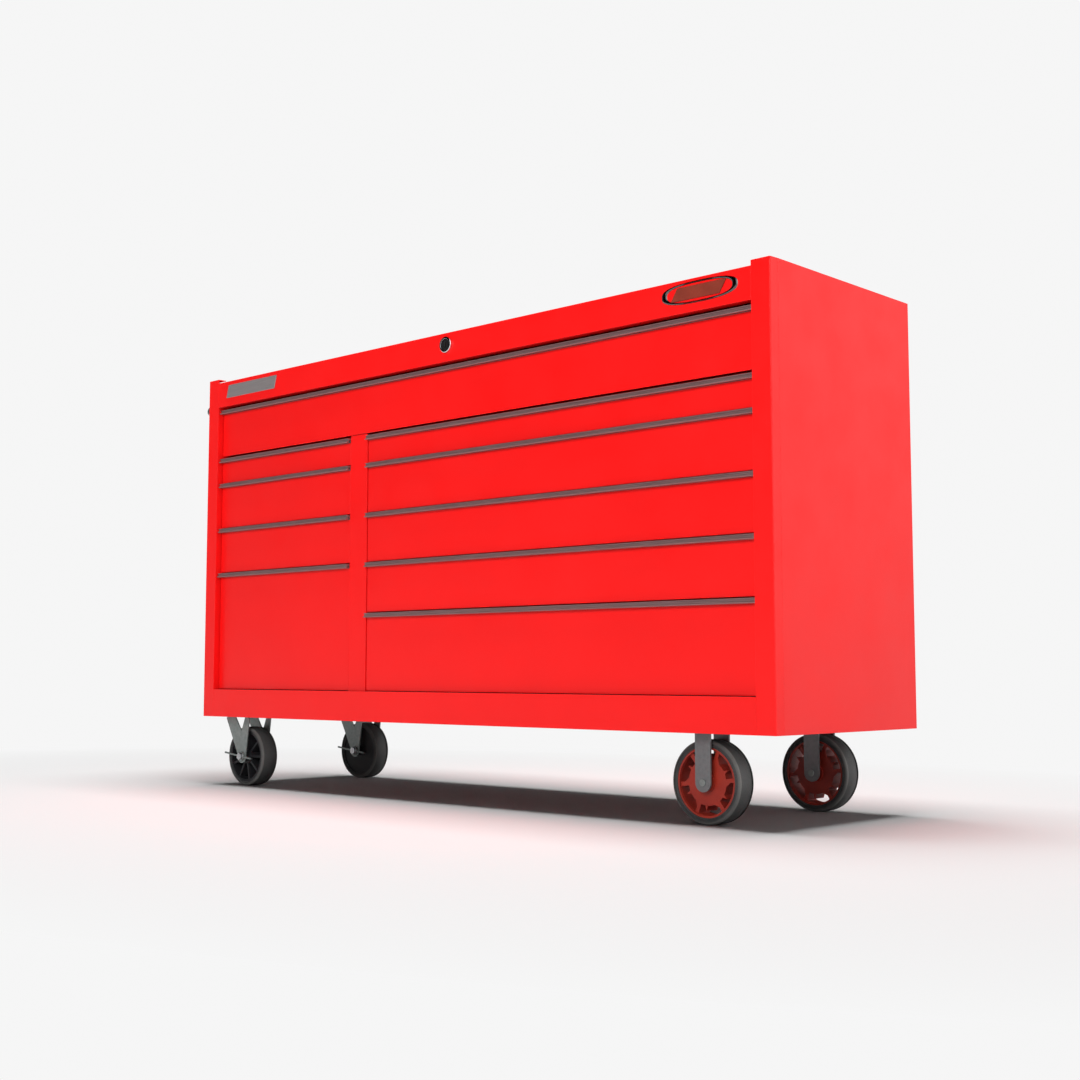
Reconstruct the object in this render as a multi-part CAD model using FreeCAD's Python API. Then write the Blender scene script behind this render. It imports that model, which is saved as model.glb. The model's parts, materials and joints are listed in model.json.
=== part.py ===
import FreeCAD, Part
import os
from math import cos, radians, sin
from FreeCAD import Vector

# Rolling tool chest with ten drawers. Millimetres, +Z up.
# The functions work in the cabinet's own coordinates: x from its left face, y from
# the front plane of its corner posts, z from the bottom edge of its skirt. save()
# moves every piece to the origin, under the middle of the whole chest on the floor.

# Cabinet
CAB_W = 1727.0          # width over the side panels
CAB_D = 486.0           # depth over the posts and the back panel
CAB_H = 853.0           # height from the skirt's bottom edge to the top edges
GROUND_GAP = 170.0      # floor to the skirt's bottom edge
SHEET = 1.5             # sheet steel of the cabinet
POST_W = 44.0           # face of a corner post
POST_SIDE = 22.0        # a corner post's return on the side of the cabinet
POST_TAPER = 2.0        # that return leans in by this much at the front
POST_INNER = 45.0       # depth of the inner return that carries the slides
MID_POST_W = 59.0       # face of the post between the two drawer banks
LEFT_BANK_W = 508.0     # clear width of the left drawer bank
TRAY_LIP = 10.0         # the side and back edges stand this far above the top deck
TOP_RAIL_H = 63.0
BOTTOM_RAIL_H = 67.5
RAIL_RETURN = 20.0      # folded edges of the two front rails
SKIRT_HEM = 12.0        # folded bottom edge of the skirt
FORK_CLEAR = 2.0        # back panel's bottom edge above the swivel forks' legs
MAT_T = 3.0             # rubber mat on the top deck
MAT_MARGIN = 14.0
CROSS_RAIL_H = 8.0
CROSS_RAIL_D = 30.0
UPRIGHT_D = 34.0        # rear uprights that carry the slides' back ends

# Drawers
FRONT_RECESS = 15.0     # drawer fronts behind the posts' front plane
FRONT_T = 12.0          # depth of the hollow drawer front
DRAWER_SHEET = 1.2
ROW_HEIGHTS = (117.4, 61.4, 111.6, 110.3, 112.0)   # rows from the top; the last row fills the rest
TOP_GAP = 7.0           # top rail to the first drawer
BANK_GAP = 7.0          # top drawer to the two banks below it
ROW_GAP = 2.5           # from one drawer front to the next
BOTTOM_GAP = 1.0        # lowest drawer fronts to the bottom rail
SIDE_GAP = 2.0          # drawer front to the posts
BOX_LIFT = 6.0          # box bottom above the front's bottom edge
BOX_DROP = 13.0         # box walls below the front's top edge
BOX_BACK_GAP = 19.5     # box back wall to the back panel
WALL_HEM = 4.0          # rolled top edge of a drawer wall

# Slides: a cabinet rail on the post and a runner on the drawer, nested
SLIDE_T = 12.7
SLIDE_H = 28.0
SLIDE_STEEL = 1.5
SLIDE_LIFT = 4.0        # rail above the box bottom
SLIDE_FIT = 0.5         # runner inside its rail
RAIL_FRONT = 30.0
RAIL_BACK_GAP = 14.0

# Pulls: an extrusion along the top edge of each drawer front
PULL_H = 10.0
PULL_D = 12.0
PULL_WALL = 1.5         # strip against the drawer front
PULL_FACE = 1.4         # wall between the hollow face and the finger groove
PULL_TOP = 2.0          # height of the bead along its top edge
PULL_BEAD = 3.0         # height of the bead along its bottom edge
PULL_TOP_SET = 2.2      # top bead behind the bottom one
PULL_HOLLOW = 4.6       # hollow face behind the bottom bead

# Lock in the top rail
LOCK_X = 886.0
LOCK_UP = 36.5          # centre above the top rail's bottom edge
LOCK_RING_R = 17.5
LOCK_PROUD = 5.5
LOCK_BARREL_R = 15.2
LOCK_LENGTH = 30.0      # barrel behind the rail's face
LOCK_PLUG_R = 13.0
LOCK_SINK = 1.0         # plug's face behind the ring's
KEY_SLOT = (2.6, 14.0, 8.0)     # width, height and depth
LOCK_FIT = 0.1
CAM_LENGTH = 30.0
CAM_W = 14.0
CAM_T = 2.5

# Blank badges on the top rail
PLATE_LEFT = 80.0       # left plate, from the cabinet's left face
PLATE_SIZE = (206.0, 32.0)
OVAL_RIGHT = 160.0      # middle of the oval badge, from the cabinet's right face
OVAL_SIZE = (176.0, 42.0)
BADGE_T = 2.5

# Push handle on the left side
HANDLE_REACH = 60.0     # outermost point from the side panel
HANDLE_R = 12.5
HANDLE_Z = 786.0
HANDLE_ENDS = (35.0, 35.0)      # bar ends from the cabinet's front and back
BRACKET_INSET = 40.0            # bracket's middle from the bar's end
BRACKET_W = 26.0
BRACKET_PLATE = (58.0, 3.0)     # foot height and thickness

# Casters
CASTER_FRONT = 70.0     # caster middle from the front
CASTER_BACK = 53.0      # caster middle from the back
SWIVEL_INSET = 98.0     # swivel axis from the left face
RIGID_INSET = 191.0     # rigid axle from the right face
MOUNT_Z = 20.0          # underside of the caster channels
CHANNEL_W = 140.0
CHANNEL_STEEL = 2.5
TOP_PLATE = (116.0, 92.0, 4.0)
BOLT_PATTERN = (92.0, 70.0)
BOLT_R = 4.0
WHEEL_W = 46.0
TYRE_SHOULDER = 4.5
RIGID_R = 78.5
RIGID_HUB_R = 65.0
SWIVEL_R = 72.5
SWIVEL_HUB_R = 62.0
AXLE_R = 5.0
AXLE_FIT = 0.05
BOSS_R = 12.0
BOSS_GAP = 0.5          # wheel boss to the fork on each side
STRAP_W = 35.0
STRAP_T = 4.0
RIGID_FORK_GAP = 54.0   # between the straps
RIGID_HEAD_R = 6.5
RIGID_HEAD_T = 2.5
SWIVEL_FORK_GAP = 62.0  # between the legs
LEG_T = 3.0
TRAIL = 20.0            # axle behind the swivel axis
LEG_END_R = 16.5
CROWN_R = 42.0
CROWN_Z = (6.0, 10.0)
RACE_R = (30.0, 38.0)
KINGPIN_R = 6.0
KINGPIN_HEAD_R = 10.0
RACE_GAP = 0.3
NUT_R = 9.5
LEVER_T = 3.7
LEVER_H = 4.0
LEVER_ARMS = (67.0, 48.0)       # lever ends left and right of the axle
LEVER_TILT = 6.5                # degrees, nose down
LEVER_COLLAR_R = 11.5
NUT_T = 5.0
SPOKES = 9
WINDOWS = 6
WINDOW_HALF = 26.0      # half of the angle that a hub window spans

# Places that follow from the sizes above
RIGHT = CAB_W
DECK_Z = CAB_H - TRAY_LIP
RAIL_Z = DECK_Z - TOP_RAIL_H
INSIDE_BACK = CAB_D - SHEET
MID_X0 = POST_W + LEFT_BANK_W
MID_X1 = MID_X0 + MID_POST_W
BAYS = {
    "top": (POST_W, RIGHT - POST_W),
    "left": (POST_W, MID_X0),
    "right": (MID_X1, RIGHT - POST_W),
}
FRONT_BACK = FRONT_RECESS + FRONT_T
BOX_FRONT = FRONT_BACK
BOX_BACK = CAB_D - BOX_BACK_GAP
CASTER_YS = {"front": CASTER_FRONT, "back": CAB_D - CASTER_BACK}
RIGID_X = CAB_W - RIGID_INSET
SWIVEL_X = SWIVEL_INSET
AXLE_X = SWIVEL_X + TRAIL
RIGID_AXLE_Z = RIGID_R - GROUND_GAP
SWIVEL_AXLE_Z = SWIVEL_R - GROUND_GAP
LOCK_Z = RAIL_Z + LOCK_UP
HANDLE_X = HANDLE_R - HANDLE_REACH
ORIGIN = Vector((HANDLE_REACH - CAB_W) / 2, (LOCK_PROUD - CAB_D) / 2, GROUND_GAP)


def drawer_rows():
    """Name, bay, bottom and top of every drawer front, from the top down."""
    tops, bottoms = [RAIL_Z - TOP_GAP], []
    for index, height in enumerate(ROW_HEIGHTS):
        bottoms.append(tops[-1] - height)
        tops.append(bottoms[-1] - (ROW_GAP if index else BANK_GAP))
    floor = BOTTOM_RAIL_H + BOTTOM_GAP
    bottoms.append(floor)
    rows = [("drawer_top", "top", bottoms[0], tops[0])]
    for number in range(1, 5):
        bottom = bottoms[number] if number < 4 else floor
        rows.append((f"drawer_left_{number}", "left", bottom, tops[number]))
    for number in range(1, 6):
        rows.append((f"drawer_right_{number}", "right", bottoms[number], tops[number]))
    return rows


def box(x0, x1, y0, y1, z0, z1):
    return Part.makeBox(x1 - x0, y1 - y0, z1 - z0, Vector(x0, y0, z0))


def rod(radius, x, y, z, length, axis):
    return Part.makeCylinder(radius, length, Vector(x, y, z), axis)


def along_x(radius, x, y, z, length):
    return rod(radius, x, y, z, length, Vector(1, 0, 0))


def along_y(radius, x, y, z, length):
    return rod(radius, x, y, z, length, Vector(0, 1, 0))


def upright(radius, x, y, z, length):
    return rod(radius, x, y, z, length, Vector(0, 0, 1))


def fuse(pieces):
    return pieces[0].multiFuse(pieces[1:]).removeSplitter()


def plate_xz(points, y0, thickness):
    """A flat plate that stands in the XZ plane, from its outline."""
    corners = [Vector(x, y0, z) for x, z in points]
    face = Part.Face(Part.makePolygon(corners + corners[:1]))
    return face.extrude(Vector(0, thickness, 0))


def prism(points, z0, height):
    """An upright prism, from its outline in x and y."""
    corners = [Vector(x, y, z0) for x, y in points]
    face = Part.Face(Part.makePolygon(corners + corners[:1]))
    return face.extrude(Vector(0, 0, height))


def edges_at(shape, axis, value):
    """The straight edges of a shape whose two ends have this coordinate."""
    chosen = []
    for edge in shape.Edges:
        ends = [getattr(vertex.Point, axis) for vertex in edge.Vertexes]
        if len(ends) == 2 and max(abs(end - value) for end in ends) < 1e-6:
            chosen.append(edge)
    return chosen


def save(name, *solids):
    shape = solids[0] if len(solids) == 1 else Part.makeCompound(list(solids))
    shape = shape.copy()
    shape.translate(ORIGIN)
    shape.exportStep(f"parts/{name}.step")
    print(name, len(shape.Solids), round(shape.Volume / 1000.0, 1))


# Cabinet shell

def side_panel(outer_x, inward):
    """Flat side with a folded top edge; inward is +1 on the left side, -1 on the right."""
    panel = box(*sorted((outer_x, outer_x + inward * SHEET)), POST_SIDE, CAB_D, 0, CAB_H)
    hem = box(*sorted((outer_x, outer_x + inward * (TRAY_LIP - SHEET))), POST_SIDE, INSIDE_BACK,
              CAB_H - SHEET, CAB_H)
    return fuse([panel, hem])


def post_outline(outer_x, inward, wall, far_y):
    """A post's outline with its side return leaning in at the front, inset by a wall."""
    def lean(y):
        return POST_TAPER * (1 - y / POST_SIDE)

    corners = [(wall + lean(wall), wall), (POST_W + wall, wall),
               (POST_W + wall, far_y), (wall + lean(far_y), far_y)]
    return [(outer_x + inward * x, y) for x, y in corners]


def corner_post(outer_x, inward):
    """Rolled post: a face, a return on the side and an inner return for the slides."""
    outside = prism(post_outline(outer_x, inward, 0, POST_SIDE), 0, CAB_H)
    corner = [edge for edge in edges_at(outside, "y", 0)
              if edge.BoundBox.XLength < 1e-6
              and abs(edge.BoundBox.XMin - outer_x - inward * POST_TAPER) < 1e-6]
    outside = outside.makeFillet(2 * SHEET, corner)
    core = prism(post_outline(outer_x, inward, SHEET, POST_SIDE + SHEET), -SHEET, CAB_H)
    inner = box(*sorted((outer_x + inward * (POST_W - SHEET), outer_x + inward * POST_W)),
                SHEET, POST_INNER, BOTTOM_RAIL_H, DECK_Z - SHEET)
    return fuse([outside.cut(core), inner])


def front_rail(z0, z1, folds):
    """Channel between the corner posts; folds are the (z, depth) of its returns."""
    face = box(POST_W, RIGHT - POST_W, 0, SHEET, z0, z1)
    returns = [box(POST_W, RIGHT - POST_W, 0, depth, z, z + SHEET) for z, depth in folds]
    return fuse([face] + returns)


def top_rail():
    rail = front_rail(RAIL_Z, DECK_Z, ((RAIL_Z, RAIL_RETURN), (DECK_Z - 2 * SHEET, RAIL_RETURN)))
    return rail.cut(along_y(LOCK_BARREL_R, LOCK_X, -SHEET, LOCK_Z, 3 * SHEET))


def bottom_rail():
    return front_rail(0, BOTTOM_RAIL_H, ((0, SKIRT_HEM), (BOTTOM_RAIL_H - 2 * SHEET, RAIL_RETURN)))


def back_panel():
    return box(SHEET, RIGHT - SHEET, INSIDE_BACK, CAB_D, CROWN_Z[0] + FORK_CLEAR, CAB_H)


def deck(z_top):
    """Flat sheet between the sides, the front rail's face and the back panel."""
    return box(SHEET, RIGHT - SHEET, SHEET, INSIDE_BACK, z_top - SHEET, z_top)


def top_deck():
    sheet = deck(DECK_Z)
    for x0, x1 in ((SHEET, POST_W), (RIGHT - POST_W, RIGHT - SHEET)):
        sheet = sheet.cut(box(x0, x1, SHEET, POST_SIDE, DECK_Z - SHEET, DECK_Z))
    return sheet


def floor_pan():
    sheet = deck(BOTTOM_RAIL_H)
    for x0, x1 in ((SHEET, POST_W), (RIGHT - POST_W, RIGHT - SHEET)):
        sheet = sheet.cut(box(x0, x1, SHEET, POST_SIDE, 0, BOTTOM_RAIL_H))
    return sheet


def top_mat():
    mat = box(MAT_MARGIN, RIGHT - MAT_MARGIN, POST_SIDE + MAT_MARGIN, INSIDE_BACK - MAT_MARGIN,
              DECK_Z, DECK_Z + MAT_T)
    corners = [edge for edge in mat.Edges if edge.BoundBox.ZLength > MAT_T / 2]
    return mat.makeFillet(MAT_MARGIN, corners)


def rear_upright(outer_x, inward):
    """Angle in a back corner that carries the slides' back ends."""
    def span(start, end):
        return sorted((outer_x + inward * start, outer_x + inward * end))

    y0 = INSIDE_BACK - UPRIGHT_D
    z0, z1 = BOTTOM_RAIL_H, DECK_Z - SHEET
    return fuse([
        box(*span(POST_W - SHEET, POST_W), y0, INSIDE_BACK, z0, z1),
        box(*span(SHEET, POST_W), INSIDE_BACK - SHEET, INSIDE_BACK, z0, z1),
    ])


def bank_top():
    """Underside of the cross rail, between the top drawer and the two banks."""
    top_drawer_bottom = drawer_rows()[0][2]
    return top_drawer_bottom - CROSS_RAIL_H


def mid_post():
    face_top = bank_top() + CROSS_RAIL_H - SHEET
    y0 = FRONT_RECESS - SHEET
    walls = [box(x, x + SHEET, y0, POST_INNER, BOTTOM_RAIL_H, bank_top())
             for x in (MID_X0, MID_X1 - SHEET)]
    return fuse([box(MID_X0, MID_X1, y0, FRONT_RECESS, BOTTOM_RAIL_H, face_top)] + walls)


def centre_divider():
    """Two walls and a back web behind the mid post."""
    y1 = INSIDE_BACK
    walls = [box(x, x + SHEET, POST_INNER, y1, BOTTOM_RAIL_H, bank_top())
             for x in (MID_X0, MID_X1 - SHEET)]
    web = box(MID_X0, MID_X1, y1 - SHEET, y1, BOTTOM_RAIL_H, bank_top())
    return fuse(walls + [web])


def cross_rail():
    y0 = POST_INNER - CROSS_RAIL_D / 2
    z0 = bank_top()
    sheet = box(POST_W, RIGHT - POST_W, y0, y0 + CROSS_RAIL_D, z0, z0 + SHEET)
    lips = [box(POST_W, RIGHT - POST_W, y, y + SHEET, z0, z0 + CROSS_RAIL_H)
            for y in (y0, y0 + CROSS_RAIL_D - SHEET)]
    return fuse([sheet] + lips)


def caster_channel(x_middle):
    """Channel under the floor pan that the casters are bolted to."""
    x0, x1 = x_middle - CHANNEL_W / 2, x_middle + CHANNEL_W / 2
    y0, y1 = RAIL_RETURN + SHEET, INSIDE_BACK
    z1 = BOTTOM_RAIL_H - SHEET
    channel = box(x0, x1, y0, y1, MOUNT_Z, z1)
    channel = channel.cut(box(x0 + CHANNEL_STEEL, x1 - CHANNEL_STEEL, y0, y1,
                              MOUNT_Z + CHANNEL_STEEL, z1))
    for y in CASTER_YS.values():
        for bolt_x, bolt_y in bolt_places(x_middle, y):
            channel = channel.cut(upright(BOLT_R, bolt_x, bolt_y, 0, z1))
    return channel


# Push handle

def handle_span():
    return HANDLE_ENDS[0], CAB_D - HANDLE_ENDS[1]


def handle_bracket_ys():
    y0, y1 = handle_span()
    return y0 + BRACKET_INSET, y1 - BRACKET_INSET


def push_handle_bar():
    y0, y1 = handle_span()
    bar = along_y(HANDLE_R, HANDLE_X, y0, HANDLE_Z, y1 - y0)
    rims = [edge for edge in bar.Edges if isinstance(edge.Curve, Part.Circle)]
    return bar.makeFillet(HANDLE_R / 2, rims)


def handle_bracket(y):
    """Foot on the side panel, an arm and a round socket that the bar passes through."""
    height, thickness = BRACKET_PLATE
    half = BRACKET_W / 2
    foot = box(-thickness, 0, y - half, y + half, HANDLE_Z - height / 2, HANDLE_Z + height / 2)
    arm = box(HANDLE_X, -thickness / 2, y - half / 2, y + half / 2,
              HANDLE_Z - HANDLE_R / 2, HANDLE_Z + HANDLE_R / 2)
    ring_r = HANDLE_REACH + HANDLE_X
    bore = along_y(HANDLE_R, HANDLE_X, y - half, HANDLE_Z, BRACKET_W)
    socket = box(HANDLE_X, HANDLE_X + ring_r + thickness, y - half, y + half,
                 HANDLE_Z - HANDLE_R, HANDLE_Z + HANDLE_R)
    return fuse([foot, arm, socket]).cut(bore)


# Lock

def lock_housing():
    ring = along_y(LOCK_RING_R, LOCK_X, -LOCK_PROUD, LOCK_Z, LOCK_PROUD)
    rim = [edge for edge in ring.Edges if isinstance(edge.Curve, Part.Circle)
           and abs(edge.Curve.Center.y + LOCK_PROUD) < 1e-6]
    ring = ring.makeFillet(LOCK_PROUD / 3, rim)
    barrel = along_y(LOCK_BARREL_R, LOCK_X, 0, LOCK_Z, LOCK_LENGTH)
    bore = along_y(LOCK_PLUG_R + LOCK_FIT, LOCK_X, -LOCK_PROUD, LOCK_Z, LOCK_LENGTH + LOCK_PROUD)
    return fuse([ring, barrel]).cut(bore)


def lock_plug():
    y0 = LOCK_SINK - LOCK_PROUD
    plug = along_y(LOCK_PLUG_R, LOCK_X, y0, LOCK_Z, LOCK_LENGTH - y0 + RACE_GAP)
    width, height, depth = KEY_SLOT
    return plug.cut(box(LOCK_X - width / 2, LOCK_X + width / 2, y0, y0 + depth,
                        LOCK_Z - height / 2, LOCK_Z + height / 2))


def lock_cam():
    """Arm on the plug's back end; it lies level while the drawers are free."""
    y0 = LOCK_LENGTH + RACE_GAP
    arm = box(LOCK_X, LOCK_X + CAM_LENGTH - CAM_W / 2, y0, y0 + CAM_T,
              LOCK_Z - CAM_W / 2, LOCK_Z + CAM_W / 2)
    ends = [along_y(CAM_W / 2, x, y0, LOCK_Z, CAM_T)
            for x in (LOCK_X, LOCK_X + CAM_LENGTH - CAM_W / 2)]
    return fuse([arm] + ends)


# Badges, left blank

def badge_plate():
    width, height = PLATE_SIZE
    plate = box(PLATE_LEFT, PLATE_LEFT + width, -BADGE_T, 0,
                LOCK_Z - height / 2, LOCK_Z + height / 2)
    corners = [edge for edge in plate.Edges if edge.BoundBox.YLength > BADGE_T / 2]
    return plate.makeFillet(height / 6, corners)


def badge_oval():
    width, height = OVAL_SIZE
    centre = Vector(RIGHT - OVAL_RIGHT, 0, LOCK_Z)
    outline = Part.Ellipse(centre + Vector(width / 2, 0, 0), centre + Vector(0, 0, height / 2),
                           centre).toShape()
    return Part.Face(Part.Wire(outline)).extrude(Vector(0, -BADGE_T, 0))


# Drawers

def slide_z(bottom):
    """Lowest point of a drawer's slides."""
    return bottom + BOX_LIFT + SLIDE_LIFT


def cabinet_slide(wall_x, inward, bottom):
    """C-shaped rail, open towards the drawer."""
    def span(start, end):
        return sorted((wall_x + inward * start, wall_x + inward * end))

    z0 = slide_z(bottom)
    y1 = CAB_D - RAIL_BACK_GAP - SHEET
    depth = SLIDE_T - 2 * SLIDE_STEEL
    rail = box(*span(0, depth), RAIL_FRONT, y1, z0, z0 + SLIDE_H)
    return rail.cut(box(*span(SLIDE_STEEL, depth), RAIL_FRONT, y1,
                        z0 + SLIDE_STEEL, z0 + SLIDE_H - SLIDE_STEEL))


def runner(wall_x, inward, bottom):
    """Drawer-side member: a channel on the drawer wall that runs inside the rail."""
    def span(start, end):
        return sorted((wall_x + inward * start, wall_x + inward * end))

    z0 = slide_z(bottom) + SLIDE_STEEL + SLIDE_FIT
    z1 = slide_z(bottom) + SLIDE_H - SLIDE_STEEL - SLIDE_FIT
    bar = box(*span(SLIDE_STEEL + SLIDE_FIT, SLIDE_T), BOX_FRONT + 2 * DRAWER_SHEET, BOX_BACK, z0, z1)
    groove = box(*span(SLIDE_STEEL + SLIDE_FIT, SLIDE_T - SLIDE_STEEL),
                 BOX_FRONT, BOX_BACK, z0 + SLIDE_STEEL, z1 - SLIDE_STEEL)
    return bar.cut(groove)


def box_span(bay):
    """Outer faces of a drawer box, between its two slides."""
    x0, x1 = BAYS[bay]
    return x0 + SLIDE_T, x1 - SLIDE_T


def drawer_front(bay, bottom, top):
    """Folded front, open below and closed behind by the box's front wall."""
    x0, x1 = BAYS[bay][0] + SIDE_GAP, BAYS[bay][1] - SIDE_GAP
    front = box(x0, x1, FRONT_RECESS, FRONT_BACK, bottom, top)
    front = front.makeFillet(DRAWER_SHEET, edges_at(front, "y", FRONT_RECESS))
    pocket = box(x0 + DRAWER_SHEET, x1 - DRAWER_SHEET, FRONT_RECESS + DRAWER_SHEET, FRONT_BACK,
                 bottom - DRAWER_SHEET, top - DRAWER_SHEET)
    return front.cut(pocket)


def drawer_box(bay, bottom, top):
    """Open box behind the front, with rolled edges along its side walls."""
    x0, x1 = box_span(bay)
    z0, z1 = bottom + BOX_LIFT, top - BOX_DROP
    wall = DRAWER_SHEET
    shell = box(x0, x1, BOX_FRONT, BOX_BACK, z0, z1)
    shell = shell.cut(box(x0 + wall, x1 - wall, BOX_FRONT + wall, BOX_BACK - wall, z0 + wall, z1))
    hems = [box(*sorted((x, x + out * WALL_HEM)), BOX_FRONT, BOX_BACK, z1 - wall, z1)
            for x, out in ((x0, -1), (x1, 1))]
    return fuse([shell] + hems)


def closing_wall(bay, bottom, top):
    """Sheet behind the hollow front, from side to side."""
    x0, x1 = BAYS[bay][0] + SIDE_GAP, BAYS[bay][1] - SIDE_GAP
    return box(x0, x1, FRONT_BACK, FRONT_BACK + DRAWER_SHEET, bottom + BOX_LIFT, top)


def drawer(bay, bottom, top):
    return fuse([drawer_front(bay, bottom, top), closing_wall(bay, bottom, top),
                 drawer_box(bay, bottom, top)])


def pull_section(z_top):
    """Outline of the pull in y and z: two beads, a hollow face and a finger groove behind it."""
    back = FRONT_RECESS
    nose = back - PULL_D
    z0 = z_top - PULL_H
    inner = back - PULL_WALL
    face = nose + PULL_HOLLOW
    behind = face + PULL_FACE
    upper = nose + PULL_TOP_SET
    roof = z_top - PULL_TOP
    return [
        (back, z_top), (upper + 0.8, z_top), (upper, z_top - 0.7), (upper, roof + 0.4),
        (upper + 0.5, roof), (face, roof - 0.6), (face, z0 + PULL_BEAD + 0.6),
        (face - 1.0, z0 + PULL_BEAD), (nose + 0.9, z0 + PULL_BEAD), (nose, z0 + PULL_BEAD - 0.9),
        (nose, z0 + 0.8), (nose + 0.8, z0), (behind - 0.6, z0), (behind, z0 + 0.6),
        (behind, roof - PULL_FACE), (inner, roof - PULL_FACE), (inner, z0), (back, z0),
    ]


def pull(bay, top):
    x0, x1 = BAYS[bay][0] + SIDE_GAP, BAYS[bay][1] - SIDE_GAP
    corners = [Vector(x0, y, z) for y, z in pull_section(top)]
    face = Part.Face(Part.makePolygon(corners + corners[:1]))
    return face.extrude(Vector(x1 - x0, 0, 0))


# Wheels, each about an axis along Y through (x, y, z), y at the wheel's middle

def tyre(x, y, z, radius, hub_r):
    ring = along_y(radius, x, y - WHEEL_W / 2, z, WHEEL_W)
    rims = [edge for edge in ring.Edges if isinstance(edge.Curve, Part.Circle)]
    return ring.makeFillet(TYRE_SHOULDER, rims).cut(along_y(hub_r, x, y - WHEEL_W, z, 2 * WHEEL_W))


def disc(x, y, z, radius, half_width):
    return along_y(radius, x, y - half_width, z, 2 * half_width)


def hub_window(radius, angle):
    """Cutter for one window near the rim: a large and a small lobe parted by a tooth."""
    inner, middle, outer = 0.66 * radius, 0.80 * radius, 0.94 * radius
    start, end = radians(angle - WINDOW_HALF), radians(angle + WINDOW_HALF)
    bend = radians(angle + 0.6 * WINDOW_HALF)

    def at(r, a):
        return Vector(r * cos(a), 0, r * sin(a))

    outline = Part.Wire([
        Part.Arc(at(outer, start), at(outer, radians(angle)), at(outer, end)).toShape(),
        Part.makeLine(at(outer, end), at(middle, end)),
        Part.makeLine(at(middle, end), at(inner, bend)),
        Part.Arc(at(inner, bend), at(inner, (start + bend) / 2), at(inner, start)).toShape(),
        Part.makeLine(at(inner, start), at(outer, start)),
    ])
    cutter = Part.Face(outline).extrude(Vector(0, 2 * WHEEL_W, 0))
    ends = [edge for edge in cutter.Edges if edge.BoundBox.YLength > WHEEL_W]
    cutter = cutter.makeFillet(0.03 * radius, ends)
    root = radians(angle - 0.35 * WINDOW_HALF)
    tip = at(0.81 * radius, root)
    feet = [at(inner - SHEET, root + offset) for offset in (-0.08, 0.08)]
    tooth = Part.Face(Part.makePolygon([tip] + feet + [tip])).extrude(Vector(0, 2 * WHEEL_W, 0))
    return cutter.cut(tooth)


def rigid_hub(x, y, z):
    """Dished disc with windows near its rim."""
    rim = disc(x, y, z, RIGID_HUB_R, WHEEL_W / 2 - 2).cut(disc(x, y, z, RIGID_HUB_R - 3.5, WHEEL_W))
    web = disc(x, y, z, RIGID_HUB_R - 3.5, WHEEL_W / 2 - 6)
    for index in range(WINDOWS):
        window = hub_window(RIGID_HUB_R, 36 + index * 360 / WINDOWS)
        window.translate(Vector(x, y - WHEEL_W, z))
        web = web.cut(window)
    boss = disc(x, y, z, BOSS_R, RIGID_FORK_GAP / 2 - BOSS_GAP)
    step = disc(x, y, z, 1.5 * BOSS_R, WHEEL_W / 2 - 3)
    return fuse([rim, web, step, boss]).cut(disc(x, y, z, AXLE_R + AXLE_FIT, WHEEL_W))


def spoked_hub(x, y, z, open_side):
    """Ribbed on the open side (-1 faces forward), a flat disc on the other."""
    rim = disc(x, y, z, SWIVEL_HUB_R, WHEEL_W / 2 - 2).cut(disc(x, y, z, SWIVEL_HUB_R - 4, WHEEL_W))
    web = disc(x, y - open_side * 15, z, SWIVEL_HUB_R - 4, 4)
    boss = disc(x, y, z, BOSS_R, SWIVEL_FORK_GAP / 2 - BOSS_GAP)
    step = disc(x, y + open_side * 4, z, 1.5 * BOSS_R, 15)
    rib = box(x + BOSS_R, x + SWIVEL_HUB_R - 2, *sorted((y - open_side * 13, y + open_side * 18)),
              z - 2.5, z + 2.5)
    ribs = []
    for index in range(SPOKES):
        turned = rib.copy()
        turned.rotate(Vector(x, y, z), Vector(0, 1, 0), index * 360 / SPOKES)
        ribs.append(turned)
    return fuse([rim, web, step, boss] + ribs).cut(disc(x, y, z, AXLE_R + AXLE_FIT, WHEEL_W))


# Casters

def bolt_places(x, y):
    return [(x + side_x * BOLT_PATTERN[0] / 2, y + side_y * BOLT_PATTERN[1] / 2)
            for side_x in (-1, 1) for side_y in (-1, 1)]


def caster_plate(x, y):
    """Bolted top plate, its corners rounded and drilled."""
    length, width, thickness = TOP_PLATE
    plate = box(x - length / 2, x + length / 2, y - width / 2, y + width / 2,
                MOUNT_Z - thickness, MOUNT_Z)
    corners = [edge for edge in plate.Edges if edge.BoundBox.ZLength > thickness / 2]
    plate = plate.makeFillet(2 * BOLT_R, corners)
    for bolt_x, bolt_y in bolt_places(x, y):
        plate = plate.cut(upright(BOLT_R, bolt_x, bolt_y, 0, MOUNT_Z))
    return plate


def caster_bolt(x, y):
    """Bolt up through a caster plate and its channel, head below and nut above."""
    z0 = MOUNT_Z - TOP_PLATE[2]
    z1 = MOUNT_Z + CHANNEL_STEEL
    return fuse([upright(1.6 * BOLT_R, x, y, z0 - BOLT_R, BOLT_R),
                 upright(BOLT_R, x, y, z0 - BOLT_R, z1 - z0 + 3 * BOLT_R),
                 upright(1.6 * BOLT_R, x, y, z1, 1.5 * BOLT_R)])


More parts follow.
